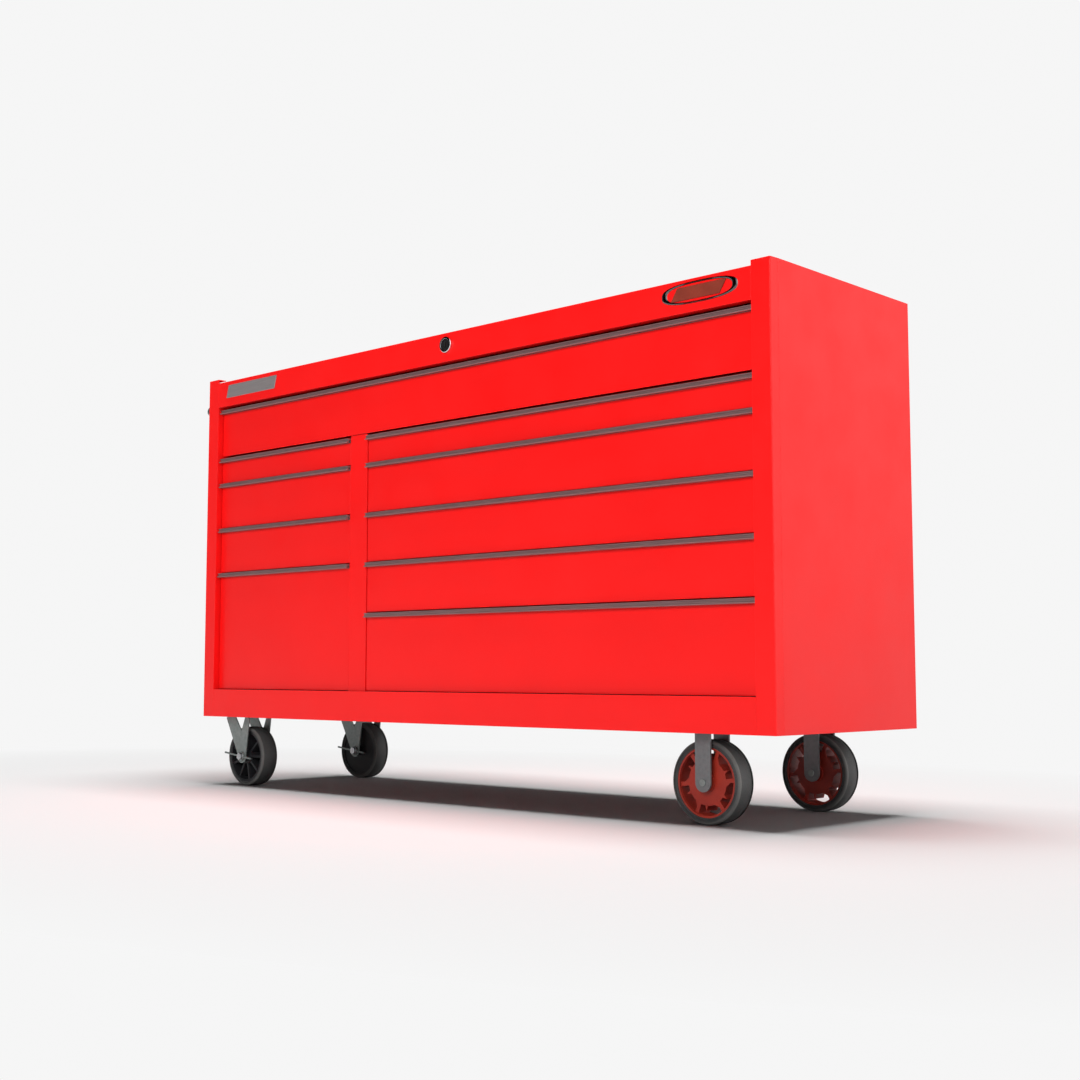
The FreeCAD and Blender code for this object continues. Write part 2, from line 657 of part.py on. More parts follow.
def rigid_fork(y):
    pieces = [caster_plate(RIGID_X, y)]
    for y0 in (y - RIGID_FORK_GAP / 2 - STRAP_T, y + RIGID_FORK_GAP / 2):
        pieces.append(box(RIGID_X - STRAP_W / 2, RIGID_X + STRAP_W / 2, y0, y0 + STRAP_T,
                          RIGID_AXLE_Z, MOUNT_Z))
        pieces.append(along_y(STRAP_W / 2, RIGID_X, y0, RIGID_AXLE_Z, STRAP_T))
    bore = along_y(AXLE_R, RIGID_X, y - RIGID_FORK_GAP, RIGID_AXLE_Z, 2 * RIGID_FORK_GAP)
    return fuse(pieces).cut(bore)


def axle(x, y, z, outer_half, end_r, end_t):
    """Bolt along Y with a head and a nut outside the fork."""
    return fuse([
        disc(x, y, z, AXLE_R, outer_half + end_t),
        along_y(end_r, x, y - outer_half - end_t, z, end_t),
        along_y(end_r, x, y + outer_half, z, end_t),
    ])


def swivel_plate(y):
    """Top plate with the kingpin that the fork turns on."""
    z0 = CROWN_Z[0] - RACE_GAP
    head = upright(KINGPIN_HEAD_R, SWIVEL_X, y, z0 - LEG_T, LEG_T)
    pin = upright(KINGPIN_R, SWIVEL_X, y, z0 - LEG_T, MOUNT_Z - z0 + LEG_T)
    return fuse([caster_plate(SWIVEL_X, y), pin, head])


def fork_leg(y0):
    """Leg with a V-shaped notch below the crown and a round end at the axle."""
    foot_left = AXLE_X - LEG_END_R
    foot_right = AXLE_X + LEG_END_R
    shoulder = SWIVEL_AXLE_Z + 3
    crown = CROWN_Z[0]
    outline = [
        (SWIVEL_X - 36, crown), (SWIVEL_X + 36, crown), (SWIVEL_X + 48, -5),
        (foot_right, shoulder), (foot_left, shoulder), (SWIVEL_X - 46, -5),
    ]
    notch = [(SWIVEL_X - 12, crown - LEG_T), (SWIVEL_X + 33, crown - LEG_T), (SWIVEL_X + 17, -36)]
    leg = plate_xz(outline, y0, LEG_T).cut(plate_xz(notch, y0, LEG_T))
    foot = along_y(LEG_END_R, AXLE_X, y0, SWIVEL_AXLE_Z, LEG_T)
    return fuse([leg, foot])


def swivel_fork(y):
    crown = upright(CROWN_R, SWIVEL_X, y, CROWN_Z[0], CROWN_Z[1] - CROWN_Z[0])
    race_top = MOUNT_Z - TOP_PLATE[2] - RACE_GAP
    race = upright(RACE_R[1], SWIVEL_X, y, CROWN_Z[1], race_top - CROWN_Z[1])
    race = race.cut(upright(RACE_R[0], SWIVEL_X, y, CROWN_Z[1], race_top))
    legs = [fork_leg(y - SWIVEL_FORK_GAP / 2 - LEG_T), fork_leg(y + SWIVEL_FORK_GAP / 2)]
    fork = fuse([crown, race] + legs)
    fork = fork.cut(upright(KINGPIN_R + AXLE_FIT, SWIVEL_X, y, 0, MOUNT_Z))
    return fork.cut(along_y(AXLE_R, AXLE_X, y - SWIVEL_FORK_GAP, SWIVEL_AXLE_Z, 2 * SWIVEL_FORK_GAP))


def swivel_axle(y):
    half = SWIVEL_FORK_GAP / 2 + LEG_T
    front_nut = along_y(NUT_R, AXLE_X, y - half - LEVER_T - 2 * RACE_GAP - NUT_T, SWIVEL_AXLE_Z, NUT_T)
    back_nut = along_y(NUT_R, AXLE_X, y + half, SWIVEL_AXLE_Z, NUT_T)
    y0 = y - half - LEVER_T - 2 * RACE_GAP - NUT_T
    shank = along_y(AXLE_R, AXLE_X, y0, SWIVEL_AXLE_Z, y + half + NUT_T - y0)
    return fuse([front_nut, shank, back_nut])


def brake_lever(y):
    """Bar on a collar in front of the fork, with a pointed right end."""
    y0 = y - SWIVEL_FORK_GAP / 2 - LEG_T - RACE_GAP - LEVER_T
    left, right = LEVER_ARMS
    x, z, half = AXLE_X, SWIVEL_AXLE_Z, LEVER_H / 2
    bar = plate_xz([(x - left, z - half), (x + right - 3 * LEVER_H, z - half), (x + right, z),
                    (x + right - 3 * LEVER_H, z + half), (x - left, z + half)], y0, LEVER_T)
    collar = along_y(LEVER_COLLAR_R, x, y0, z, LEVER_T)
    lever = fuse([bar, collar]).cut(along_y(AXLE_R + AXLE_FIT, x, y0, z, LEVER_T))
    lever.rotate(Vector(x, y0, z), Vector(0, 1, 0), LEVER_TILT)
    return lever


def main():
    os.makedirs("parts", exist_ok=True)
    save("side_panel_left", side_panel(0, 1))
    save("side_panel_right", side_panel(RIGHT, -1))
    save("corner_post_left", corner_post(0, 1))
    save("corner_post_right", corner_post(RIGHT, -1))
    save("mid_post", mid_post())
    save("back_panel", back_panel())
    save("top_rail", top_rail())
    save("bottom_rail", bottom_rail())
    save("top_deck", top_deck())
    save("top_mat", top_mat())
    save("floor_pan", floor_pan())
    save("rear_uprights", rear_upright(0, 1), rear_upright(RIGHT, -1))
    save("centre_divider", centre_divider())
    save("cross_rail", cross_rail())
    save("caster_channels", caster_channel(SWIVEL_X), caster_channel(RIGID_X))
    save("push_handle_bar", push_handle_bar())
    save("push_handle_brackets", *[handle_bracket(y) for y in handle_bracket_ys()])
    save("lock_housing", lock_housing())
    save("lock_plug", lock_plug())
    save("lock_cam", lock_cam())
    save("badges", badge_plate(), badge_oval())

    rails = []
    for name, bay, bottom, top in drawer_rows():
        x0, x1 = BAYS[bay]
        rails += [cabinet_slide(x0, 1, bottom), cabinet_slide(x1, -1, bottom)]
        save(name, drawer(bay, bottom, top), runner(x0, 1, bottom), runner(x1, -1, bottom))
        save(f"{name}_pull", pull(bay, top))
    save("cabinet_slides", *rails)

    ys = CASTER_YS
    places = [(x, y) for x in (SWIVEL_X, RIGID_X) for y in ys.values()]
    save("caster_bolts", *[caster_bolt(bolt_x, bolt_y) for x, y in places
                           for bolt_x, bolt_y in bolt_places(x, y)])
    save("rigid_forks", *[rigid_fork(y) for y in ys.values()])
    half = RIGID_FORK_GAP / 2 + STRAP_T
    save("rigid_axles", *[axle(RIGID_X, y, RIGID_AXLE_Z, half, RIGID_HEAD_R, RIGID_HEAD_T)
                          for y in ys.values()])
    save("swivel_plates", *[swivel_plate(y) for y in ys.values()])
    for end, y in ys.items():
        save(f"tyre_right_{end}", tyre(RIGID_X, y, RIGID_AXLE_Z, RIGID_R, RIGID_HUB_R))
        save(f"hub_right_{end}", rigid_hub(RIGID_X, y, RIGID_AXLE_Z))
        save(f"tyre_left_{end}", tyre(AXLE_X, y, SWIVEL_AXLE_Z, SWIVEL_R, SWIVEL_HUB_R))
        open_side = -1 if end == "front" else 1
        save(f"hub_left_{end}", spoked_hub(AXLE_X, y, SWIVEL_AXLE_Z, open_side))
        save(f"swivel_fork_{end}", swivel_fork(y))
        save(f"swivel_axle_{end}", swivel_axle(y))
        save(f"brake_lever_{end}", brake_lever(y))


main()
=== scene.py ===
# %% [markdown]
# # A rolling tool chest, finished in Blender
# The engineering model arrives as a fixed frame: steel sheets, drawers, slides, casters
# and joints, all in metres. This lesson keeps every size and place from that frame and
# adds what a maker's finish adds: rolled edges, brushed metal, paint, rubber and light.

# %% Load the frame
import json
from itertools import product
from math import cos, pi, radians, sin, sqrt

import bmesh
import bpy
from mathutils import Matrix, Vector

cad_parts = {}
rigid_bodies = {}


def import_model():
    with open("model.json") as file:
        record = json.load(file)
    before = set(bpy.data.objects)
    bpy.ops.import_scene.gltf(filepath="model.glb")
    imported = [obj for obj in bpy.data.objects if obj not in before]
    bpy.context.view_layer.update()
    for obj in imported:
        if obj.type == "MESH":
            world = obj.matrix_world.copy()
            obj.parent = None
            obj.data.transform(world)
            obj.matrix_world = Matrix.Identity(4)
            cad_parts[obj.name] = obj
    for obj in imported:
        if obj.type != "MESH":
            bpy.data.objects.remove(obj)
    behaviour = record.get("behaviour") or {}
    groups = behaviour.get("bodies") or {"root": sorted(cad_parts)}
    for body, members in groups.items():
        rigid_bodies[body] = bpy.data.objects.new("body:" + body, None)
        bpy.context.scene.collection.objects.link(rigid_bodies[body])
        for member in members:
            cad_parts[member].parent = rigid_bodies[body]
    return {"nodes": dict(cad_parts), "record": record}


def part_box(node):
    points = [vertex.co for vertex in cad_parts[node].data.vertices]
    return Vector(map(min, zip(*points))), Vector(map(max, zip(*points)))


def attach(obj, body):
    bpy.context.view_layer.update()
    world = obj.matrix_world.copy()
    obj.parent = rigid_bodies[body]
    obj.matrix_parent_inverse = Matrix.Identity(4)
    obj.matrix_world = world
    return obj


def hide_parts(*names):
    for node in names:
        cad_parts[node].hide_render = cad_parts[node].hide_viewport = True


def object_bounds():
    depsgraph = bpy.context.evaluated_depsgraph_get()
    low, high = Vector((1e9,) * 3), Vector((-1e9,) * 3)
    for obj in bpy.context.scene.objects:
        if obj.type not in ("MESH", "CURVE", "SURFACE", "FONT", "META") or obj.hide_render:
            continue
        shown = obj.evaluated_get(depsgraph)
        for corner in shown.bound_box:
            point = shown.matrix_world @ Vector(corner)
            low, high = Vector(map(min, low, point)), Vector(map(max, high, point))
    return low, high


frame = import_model()
cad_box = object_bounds()
bodies = frame["record"]["behaviour"]["bodies"]
MM = 0.001

# %% [markdown]
# Every material below is a small node tree. A helper class saves typing: it adds a node,
# sets its properties and either links or fills each input. Constants go straight onto the
# shader's own sockets, so an exporter can read them.

# %% A helper for node trees
class Finish:
    """A material and its node tree, with one call for each node."""

    def __init__(self, name, **constants):
        self.material = bpy.data.materials.new(name)
        self.material.use_nodes = True
        self.tree = self.material.node_tree
        self.shader = self.tree.nodes["Principled BSDF"]
        self.feed(self.shader, constants)

    def feed(self, node, inputs):
        for key, value in inputs.items():
            socket = node.inputs[key.replace("_", " ") if isinstance(key, str) else key]
            if isinstance(value, bpy.types.NodeSocket):
                self.tree.links.new(value, socket)
            else:
                socket.default_value = value

    def add(self, kind, inputs=None, **settings):
        node = self.tree.nodes.new("ShaderNode" + kind)
        for key, value in settings.items():
            setattr(node, key, value)
        self.feed(node, inputs or {})
        return node

    def place(self, scale=(1, 1, 1)):
        """Object coordinates, stretched by a scale."""
        where = self.add("TexCoord").outputs["Object"]
        mapping = self.add("Mapping", {"Vector": where, "Scale": scale})
        return mapping.outputs["Vector"]

    def noise(self, vector, scale, detail=2.0, roughness=0.5):
        return self.add("TexNoise", {"Vector": vector, "Scale": scale, "Detail": detail,
                                     "Roughness": roughness}).outputs["Fac"]

    def remap(self, value, low, high, new_low, new_high):
        return self.add("MapRange", {"Value": value, "From Min": low, "From Max": high,
                                     "To Min": new_low, "To Max": new_high}).outputs["Result"]

    def math(self, operation, first, second):
        return self.add("Math", {0: first, 1: second}, operation=operation).outputs[0]

    def mix(self, factor, first, second):
        """Blend of two colours."""
        return self.add("Mix", {0: factor, 6: first, 7: second}, data_type="RGBA").outputs[2]

    def bump(self, height, strength, distance, below=None):
        inputs = {"Height": height, "Strength": strength, "Distance": distance}
        if below is not None:
            inputs["Normal"] = below
        return self.add("Bump", inputs).outputs["Normal"]

    def edges(self, radius):
        """Near 1 along a sharp edge and 0 on a flat: how far a rounded normal leans away."""
        rounded = self.add("Bevel", {"Radius": radius}, samples=4).outputs["Normal"]
        flat = self.add("NewGeometry").outputs["Normal"]
        lean = self.add("VectorMath", {0: rounded, 1: flat}, operation="DOT_PRODUCT")
        return self.remap(lean.outputs["Value"], 0.75, 0.99, 1.0, 0.0)


# %% [markdown]
# ## Paint
# The chest is powder-coated in a bright red enamel. Real powder coat is never a flat
# colour: it has a fine orange-peel skin, drifts a little in shade from place to place, and
# rubs pale along the folded edges. An image could hold all that, but noises follow any size
# of sheet. Each effect has a noise of its own scale, and an edge mask lightens the folds.

# %% Red enamel
def red_enamel(name, colour, deep, edge_shade, roughness):
    paint = Finish(name, Coat_Weight=0.05, Coat_Roughness=0.2, Coat_IOR=1.5, IOR=1.38)
    where = paint.place()
    drift = paint.noise(where, 3.0, 3.0)
    shade = paint.mix(paint.remap(drift, 0.35, 0.65, 0.0, 1.0), colour, deep)
    fold = paint.edges(0.0012)
    specks = paint.noise(where, 380.0, 2.0)
    pale_mask = paint.math("MULTIPLY", fold, paint.remap(specks, 0.40, 0.62, 0.25, 0.9))
    peel = paint.noise(where, 320.0, 2.0)
    wave = paint.noise(where, 28.0, 1.0)
    handled = paint.noise(where, 9.0, 4.0, 0.6)
    rough = paint.remap(handled, 0.3, 0.7, roughness - 0.05, roughness + 0.07)
    skin = paint.bump(peel, 0.22, 0.0004)
    paint.feed(paint.shader, {
        "Base Color": paint.mix(pale_mask, shade, edge_shade),
        "Roughness": paint.math("ADD", rough, paint.math("MULTIPLY", pale_mask, 0.15)),
        "Normal": paint.bump(wave, 0.05, 0.004, skin),
    })
    return paint.material


RED = red_enamel("red_enamel", (0.87, 0.007, 0.007, 1), (0.83, 0.006, 0.006, 1),
                 (0.90, 0.035, 0.03, 1), 0.34)
# The inner parts take a darker copy of the red: the darkness is painted shade.
SHADED_INNER_RED = red_enamel("shaded_inner_enamel", (0.62, 0.012, 0.010, 1), (0.55, 0.010, 0.009, 1),
                       (0.70, 0.06, 0.05, 1), 0.46)
print("paints", RED.name, SHADED_INNER_RED.name)

# %% [markdown]
# ## Metals
# Brushed, plated and pressed steel differ mostly in how their roughness is spread. Brushed
# parts get a noise drawn out along the brushing; dull zinc gets soft blotches, the
# spangle of the plating; polished chrome only gets faint smears.

# %% Metal finishes
def metal(name, colour, dark, roughness, spread, scale, stretch=(1, 1, 1), anisotropy=0.0,
          bump=0.05, metallic=1.0):
    finish = Finish(name, Metallic=metallic, Anisotropic=anisotropy)
    where = finish.place(stretch)
    grain = finish.noise(where, scale, 4.0, 0.62)
    smear = finish.noise(finish.place(), 22.0, 3.0)
    blend = finish.remap(grain, 0.3, 0.7, 0.0, 1.0)
    tone = finish.mix(blend, dark, colour)
    fold = finish.edges(0.0006)
    rough = finish.remap(grain, 0.25, 0.75, roughness - spread, roughness + spread)
    rough = finish.math("ADD", rough, finish.remap(smear, 0.4, 0.7, 0.0, spread / 2))
    bright = tuple(min(1.0, 1.25 * c + 0.04) for c in colour[:3]) + (1,)
    finish.feed(finish.shader, {
        "Base Color": finish.mix(finish.math("MULTIPLY", fold, 0.6), tone, bright),
        "Roughness": rough,
        "Normal": finish.bump(grain, bump, 0.0003),
    })
    return finish.material


ALONG_X = (0.02, 1, 1)
ALONG_Y = (1, 0.02, 1)
# The pull metal is tinted red and dark: a painted reflection of the red drawer fronts and the dim
# space in front of the pulls.
PULL_METAL_RED_REFLECTION = metal("brushed_pull_red_reflection", (0.33, 0.20, 0.20, 1), (0.24, 0.145, 0.145, 1), 0.34, 0.08,
                   900.0, ALONG_X, 0.4, metallic=0.55)
ZINC = metal("bright_zinc", (0.60, 0.61, 0.62, 1), (0.47, 0.48, 0.50, 1), 0.33, 0.10, 70.0)
FORK_STEEL = metal("dull_zinc_pressing", (0.30, 0.33, 0.32, 1), (0.21, 0.24, 0.23, 1), 0.46, 0.08,
                   120.0, bump=0.12, metallic=0.6)
STRAP_STEEL = metal("dark_strap", (0.22, 0.225, 0.23, 1), (0.17, 0.175, 0.18, 1), 0.46, 0.08,
                    120.0, bump=0.12, metallic=0.6)
HANDLE_METAL = metal("satin_tube", (0.56, 0.56, 0.57, 1), (0.44, 0.44, 0.46, 1), 0.27, 0.07,
                     700.0, ALONG_Y, 0.3)
# Dark grey for the floor pan, where the real chest is red: painted shade that keeps the floor under
# the chest dark and grey.
PAN_SHADE_GREY = metal("pan_shade_grey", (0.05, 0.05, 0.052, 1), (0.035, 0.035, 0.037, 1), 0.6, 0.06, 60.0,
                  metallic=0.0)
CHROME = metal("chrome", (0.80, 0.80, 0.82, 1), (0.72, 0.72, 0.74, 1), 0.12, 0.04, 40.0, bump=0.01)
DARK_CHROME = metal("dark_chrome", (0.20, 0.18, 0.18, 1), (0.14, 0.13, 0.13, 1), 0.20, 0.04, 40.0,
                    bump=0.01)
PLUG_METAL = metal("dark_plate", (0.13, 0.125, 0.13, 1), (0.08, 0.08, 0.085, 1), 0.38, 0.07, 500.0)
BADGE_METAL = metal("satin_badge", (0.44, 0.40, 0.40, 1), (0.34, 0.31, 0.31, 1), 0.34, 0.07,
                    800.0, ALONG_X, 0.3, metallic=0.6)
print("metals", PULL_METAL_RED_REFLECTION.name, ZINC.name, FORK_STEEL.name)

# %% [markdown]
# ## Rubber and moulded hubs
# Tyres are matt and nearly black, and turn grey with scuffing. The mesh of each tyre carries an
# attribute, set where the shoulder is, and the material fades to grey there: partly real
# scuffing, partly a painted highlight where light catches the shoulders and the tread. Hubs
# are cast or moulded: a pebbled skin with a little shine.

# %% Tyre, hub and mat finishes
def rubber(name, colour, scuffed_and_highlit, attribute=None, grain=420.0):
    finish = Finish(name, IOR=1.5)
    where = finish.place()
    fine = finish.noise(where, grain, 3.0)
    patches = finish.noise(where, 35.0, 4.0, 0.6)
    dust_and_highlight = finish.remap(patches, 0.42, 0.75, 0.0, 0.55)
    # For the tyres, the attribute pales the rubber: partly scuffing, partly a painted highlight.
    if attribute:
        pale_mask = finish.add("Attribute", attribute_name=attribute).outputs["Fac"]
        spread = finish.math("MULTIPLY", pale_mask, finish.remap(patches, 0.3, 0.6, 0.7, 1.0))
        dust_and_highlight = finish.math("MAXIMUM", finish.math("MULTIPLY", dust_and_highlight, 0.5), spread)
    finish.feed(finish.shader, {
        "Base Color": finish.mix(dust_and_highlight, colour, scuffed_and_highlit),
        "Roughness": finish.remap(fine, 0.3, 0.7, 0.52, 0.72),
        "Normal": finish.bump(fine, 0.25, 0.0004),
    })
    return finish.material


def moulded(name, colour, deep, roughness):
    finish = Finish(name, IOR=1.48)
    where = finish.place()
    pebbles = finish.noise(where, 500.0, 3.0)
    shade = finish.mix(finish.remap(finish.noise(where, 30.0, 3.0), 0.35, 0.65, 0.0, 1.0),
                       colour, deep)
    rub = finish.math("MULTIPLY", finish.edges(0.0008), 0.5)
    pale = tuple(min(1.0, 1.5 * c + 0.03) for c in colour[:3]) + (1,)
    finish.feed(finish.shader, {
        "Base Color": finish.mix(rub, shade, pale),
        "Roughness": finish.remap(pebbles, 0.3, 0.7, roughness - 0.06, roughness + 0.08),
        "Normal": finish.bump(pebbles, 0.12, 0.0004),
    })
    return finish.material


# The tyre's pale colour is partly scuffing, partly a painted highlight on the shoulders and tread.
TYRE = rubber("tyre_rubber", (0.034, 0.035, 0.036, 1), (0.13, 0.128, 0.122, 1), "scuff_and_highlight")
MAT = rubber("ribbed_mat_rubber", (0.020, 0.020, 0.021, 1), (0.060, 0.060, 0.062, 1))
LINER = rubber("drawer_liner_foam", (0.030, 0.030, 0.032, 1), (0.055, 0.055, 0.058, 1), grain=600.0)
HUB_RED = moulded("brick_red_hub", (0.30, 0.024, 0.012, 1), (0.24, 0.018, 0.010, 1), 0.50)
BRICK = moulded("brick_enamel", (0.22, 0.03, 0.015, 1), (0.18, 0.024, 0.012, 1), 0.60)
HUB_BLACK = moulded("black_hub", (0.016, 0.016, 0.018, 1), (0.010, 0.010, 0.012, 1), 0.62)
print("rubbers", TYRE.name, MAT.name, LINER.name)

# %% [markdown]
# ## From CAD solids to finished pieces
# A CAD mesh is a bag of loose triangles with razor-sharp edges. To round them, a copy is
# merged, its flat faces are dissolved back into whole faces, and a Bevel modifier turns
# each fold into a small radius that catches the light. A Weighted Normal modifier keeps the
# wide faces flat beside those radii. The result is applied, so each finished piece is a
# plain mesh that stands for its CAD node.

# %% Mesh helpers
def merged_copy(node):
    """A CAD node's mesh with its vertices joined and its flat faces whole."""
    bm = bmesh.new()
    bm.from_mesh(frame["nodes"][node].data)
    bmesh.ops.remove_doubles(bm, verts=bm.verts, dist=2e-6)
    bmesh.ops.dissolve_limit(bm, angle_limit=radians(0.5), verts=bm.verts, edges=bm.edges)
    return bm


def link(name, mesh, material):
    """A new piece in the scene, at the origin, with one material."""
    mesh.materials.clear()
    mesh.materials.append(material)
    piece = bpy.data.objects.new(name, mesh)
    bpy.context.scene.collection.objects.link(piece)
    return piece


def from_bmesh(name, bm, material):
    mesh = bpy.data.meshes.new(name)
    bm.to_mesh(mesh)
    bm.free()
    return link(name, mesh, material)


def applied(piece):
    """Bakes a piece's modifiers into its mesh."""
    evaluated = piece.evaluated_get(bpy.context.evaluated_depsgraph_get())
    mesh = bpy.data.meshes.new_from_object(evaluated)
    piece.modifiers.clear()
    piece.data = mesh
    return piece


FOLD_ANGLE = radians(30)


def round_edges(piece, width, segments=2):
    """Rounds every fold sharper than the fold angle and keeps the wide faces flat."""
    piece.data.shade_smooth()
    bevel = piece.modifiers.new("bevel", "BEVEL")
    bevel.width = width
    bevel.segments = segments
    bevel.limit_method = "ANGLE"
    bevel.angle_limit = FOLD_ANGLE
    flat = piece.modifiers.new("flat_faces", "WEIGHTED_NORMAL")
    flat.weight = 100
    return applied(piece)


# %% [markdown]
# A finished piece goes on the body it moves with, and the CAD nodes that it stands for are
# then hidden. One helper does both, and another does the whole job for a node that only
# needs its edges rounded.

# %% Seating a piece on its body
def seat(piece, body, slot, *nodes):
    """Sets a piece on its body and hides the CAD nodes that it stands for; the slot is not used."""
    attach(piece, body)
    if nodes:
        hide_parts(*nodes)
    return piece


def finished(node, body, slot, material, width):
    """A rounded copy of a whole CAD node that stands for it."""
    piece = from_bmesh(node + "_finished", merged_copy(node), material)
    return seat(round_edges(piece, width), body, slot, node)


def place_of(node):
    """Lowest and highest corner of a CAD node."""
    low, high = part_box(node)
    return Vector(low), Vector(high)


# %% [markdown]
# ## The cabinet
# The shell is folded sheet steel. Each panel keeps its CAD shape; only its folds are
# rounded, at about half the sheet's thickness, as a press brake leaves them. Panels could be
# modelled anew from cubes, but the CAD sheets already have the right folds and holes. The
# floor pan is dark grey where the real one is red: painted shade, so that the floor under the
# chest stays dark and grey. The inner parts take a darker red, which is painted shade too.

# %% Cabinet shell
FOLD = 0.6 * MM
THIN_FOLD = 0.3 * MM
OUTER = ("side_panel_left", "side_panel_right", "corner_post_left", "corner_post_right",
         "mid_post", "top_rail", "bottom_rail", "top_deck")
INNER = ("rear_uprights", "centre_divider", "cross_rail")
for node in OUTER:
    finished(node, "cabinet", "red_paint", RED, FOLD)
# The inner parts get the darker red, which is painted shade.
for node in INNER:
    finished(node, "cabinet", "inner_steel", SHADED_INNER_RED, FOLD)
for node in ("caster_channels", "cabinet_slides"):
    finished(node, "cabinet", "zinc", ZINC, THIN_FOLD)
# The floor pan is dark grey as painted shade, so that the floor beneath stays dark and grey.
finished("floor_pan", "cabinet", "inner_steel", PAN_SHADE_GREY, FOLD)
print("shell pieces", len(OUTER) + len(INNER) + 3)

# %% [markdown]
# ## Geometry Nodes for what repeats
# Ribs, rivets and bolts are one small shape set at many places. A tree puts the shape on
# each place, turns the copies into real geometry and gives them a material. The sizes are
# named inputs of the tree. Inputs are set by the socket's identifier, before the object is
# looked at for the first time.

# %% Tree helpers
class Tree:
    """A Geometry Nodes tree under construction."""

    def __init__(self, name, sizes, geometry=True):
        self.group = bpy.data.node_groups.new(name, "GeometryNodeTree")
        face = self.group.interface
        if geometry:
            face.new_socket("Geometry", in_out="INPUT", socket_type="NodeSocketGeometry")
        self.ids = {}
        for key, kind in sizes.items():
            socket = face.new_socket(key, in_out="INPUT", socket_type="NodeSocket" + kind)
            self.ids[key] = socket.identifier
        face.new_socket("Geometry", in_out="OUTPUT", socket_type="NodeSocketGeometry")
        self.source = self.group.nodes.new("NodeGroupInput").outputs
        self.end = self.group.nodes.new("NodeGroupOutput").inputs[0]

    def add(self, kind, inputs=None, **settings):
        node = self.group.nodes.new(kind)
        for key, value in settings.items():
            setattr(node, key, value)
        for key, value in (inputs or {}).items():
            if isinstance(value, bpy.types.NodeSocket):
                self.group.links.new(value, node.inputs[key])
            else:
                node.inputs[key].default_value = value
        return node

    def vector(self, x=0.0, y=0.0, z=0.0):
        return self.add("ShaderNodeCombineXYZ", {"X": x, "Y": y, "Z": z}).outputs[0]

    def math(self, operation, first, second=0.0):
        return self.add("ShaderNodeMath", {0: first, 1: second}, operation=operation).outputs[0]

    def join(self, *parts):
        node = self.add("GeometryNodeJoinGeometry")
        for part in parts:
            self.group.links.new(part, node.inputs[0])
        return node.outputs[0]

    def moved(self, geometry, offset, turn=(0, 0, 0)):
        return self.add("GeometryNodeTransform",
                        {"Geometry": geometry, "Translation": offset, "Rotation": turn}).outputs[0]

    def finish(self, geometry, material):
        """Every tree ends the same way: real geometry, then its material."""
        real = self.add("GeometryNodeRealizeInstances", {"Geometry": geometry}).outputs[0]
        painted = self.add("GeometryNodeSetMaterial", {"Geometry": real, "Material": material})
        self.group.links.new(painted.outputs[0], self.end)
        return self


def run(tree, name, material, sizes, mesh=None):
    """Runs a tree on a mesh and keeps its result as a plain mesh."""
    piece = link(name, mesh or bpy.data.meshes.new(name), material)
    modifier = piece.modifiers.new("nodes", "NODES")
    modifier.node_group = tree.group
    for key, value in sizes.items():
        modifier[tree.ids[key]] = value
    applied(piece)
    piece.data.materials.clear()
    piece.data.materials.append(material)
    return piece


# %% [markdown]
# ## The drawer pulls
# Each pull is an aluminium extrusion: one section, cut to the drawer's width. That is a
# rule, so a tree makes it: it takes the section as a flat face, extrudes it along X by the
# named length and closes the open end. The section itself has a rounded bead above, a
# hollow face and a heavier bead below, and a groove behind for the fingertips.

# %% One section for every pull
def arc(centre, radius, start, end, steps):
    """Points on an arc in a section, angles in degrees."""
    turns = [radians(start + (end - start) * i / steps) for i in range(steps + 1)]
    return [(centre[0] + radius * cos(t), centre[1] + radius * sin(t)) for t in turns]


def pull_outline(low, high):
    """Outline in y and z, in the pull's box: up the back, over the crest, down the front."""
    nose, back = low.y, high.y
    base, top = low.z, high.z
    crest, crest_back = 1.0 * MM, 2.2 * MM
    bead, ease = 1.5 * MM, 0.6 * MM
    face = nose + 4.6 * MM
    behind = face + 1.4 * MM
    inner = back - 1.5 * MM
    roof = top - 3.4 * MM
    outline = [(back, base), (back, top)]
    outline += arc((nose + crest_back + crest, top - crest), crest, 90, 270, 8)
    outline += [(face, top - 2.6 * MM), (face, base + 3.6 * MM), (face - 0.8 * MM, base + 3.0 * MM)]
    outline += arc((nose + bead, base + bead), bead, 90, 270, 8)
    outline += [(behind - ease, base), (behind, base + ease), (behind, roof), (inner, roof),
                (inner, base)]
    return outline


def section_face(outline, x):
    """A section as one flat face across the X axis."""
    mesh = bpy.data.meshes.new("section")
    mesh.from_pydata([(x, y, z) for y, z in outline], [], [tuple(range(len(outline)))])
    return mesh


def extrusion_tree(material):
    """Draws a face out along X and closes its open end."""
    tree = Tree("extrusion", {"Length": "Float"})
    start = tree.source["Geometry"]
    along = tree.vector(x=tree.source["Length"])
    grown = tree.add("GeometryNodeExtrudeMesh", {"Mesh": start, "Offset": along,
                                                 "Offset Scale": 1.0, "Individual": False})
    other_end = tree.add("GeometryNodeFlipFaces", {"Mesh": start}).outputs[0]
    whole = tree.join(grown.outputs["Mesh"], other_end)
    closed = tree.add("GeometryNodeMergeByDistance", {"Geometry": whole, "Distance": 1e-6})
    return tree.finish(closed.outputs[0], material)


def outward(piece):
    """Turns every face of a closed mesh outwards."""
    bm = bmesh.new()
    bm.from_mesh(piece.data)
    bmesh.ops.recalc_face_normals(bm, faces=bm.faces)
    bm.to_mesh(piece.data)
    bm.free()
    return piece


def smooth_by_angle(piece, angle):
    """Smooth shading that stays sharp at folds steeper than an angle in degrees."""
    mesh = piece.data
    mesh.shade_smooth()
    mesh.set_sharp_from_angle(angle=radians(angle))
    return piece


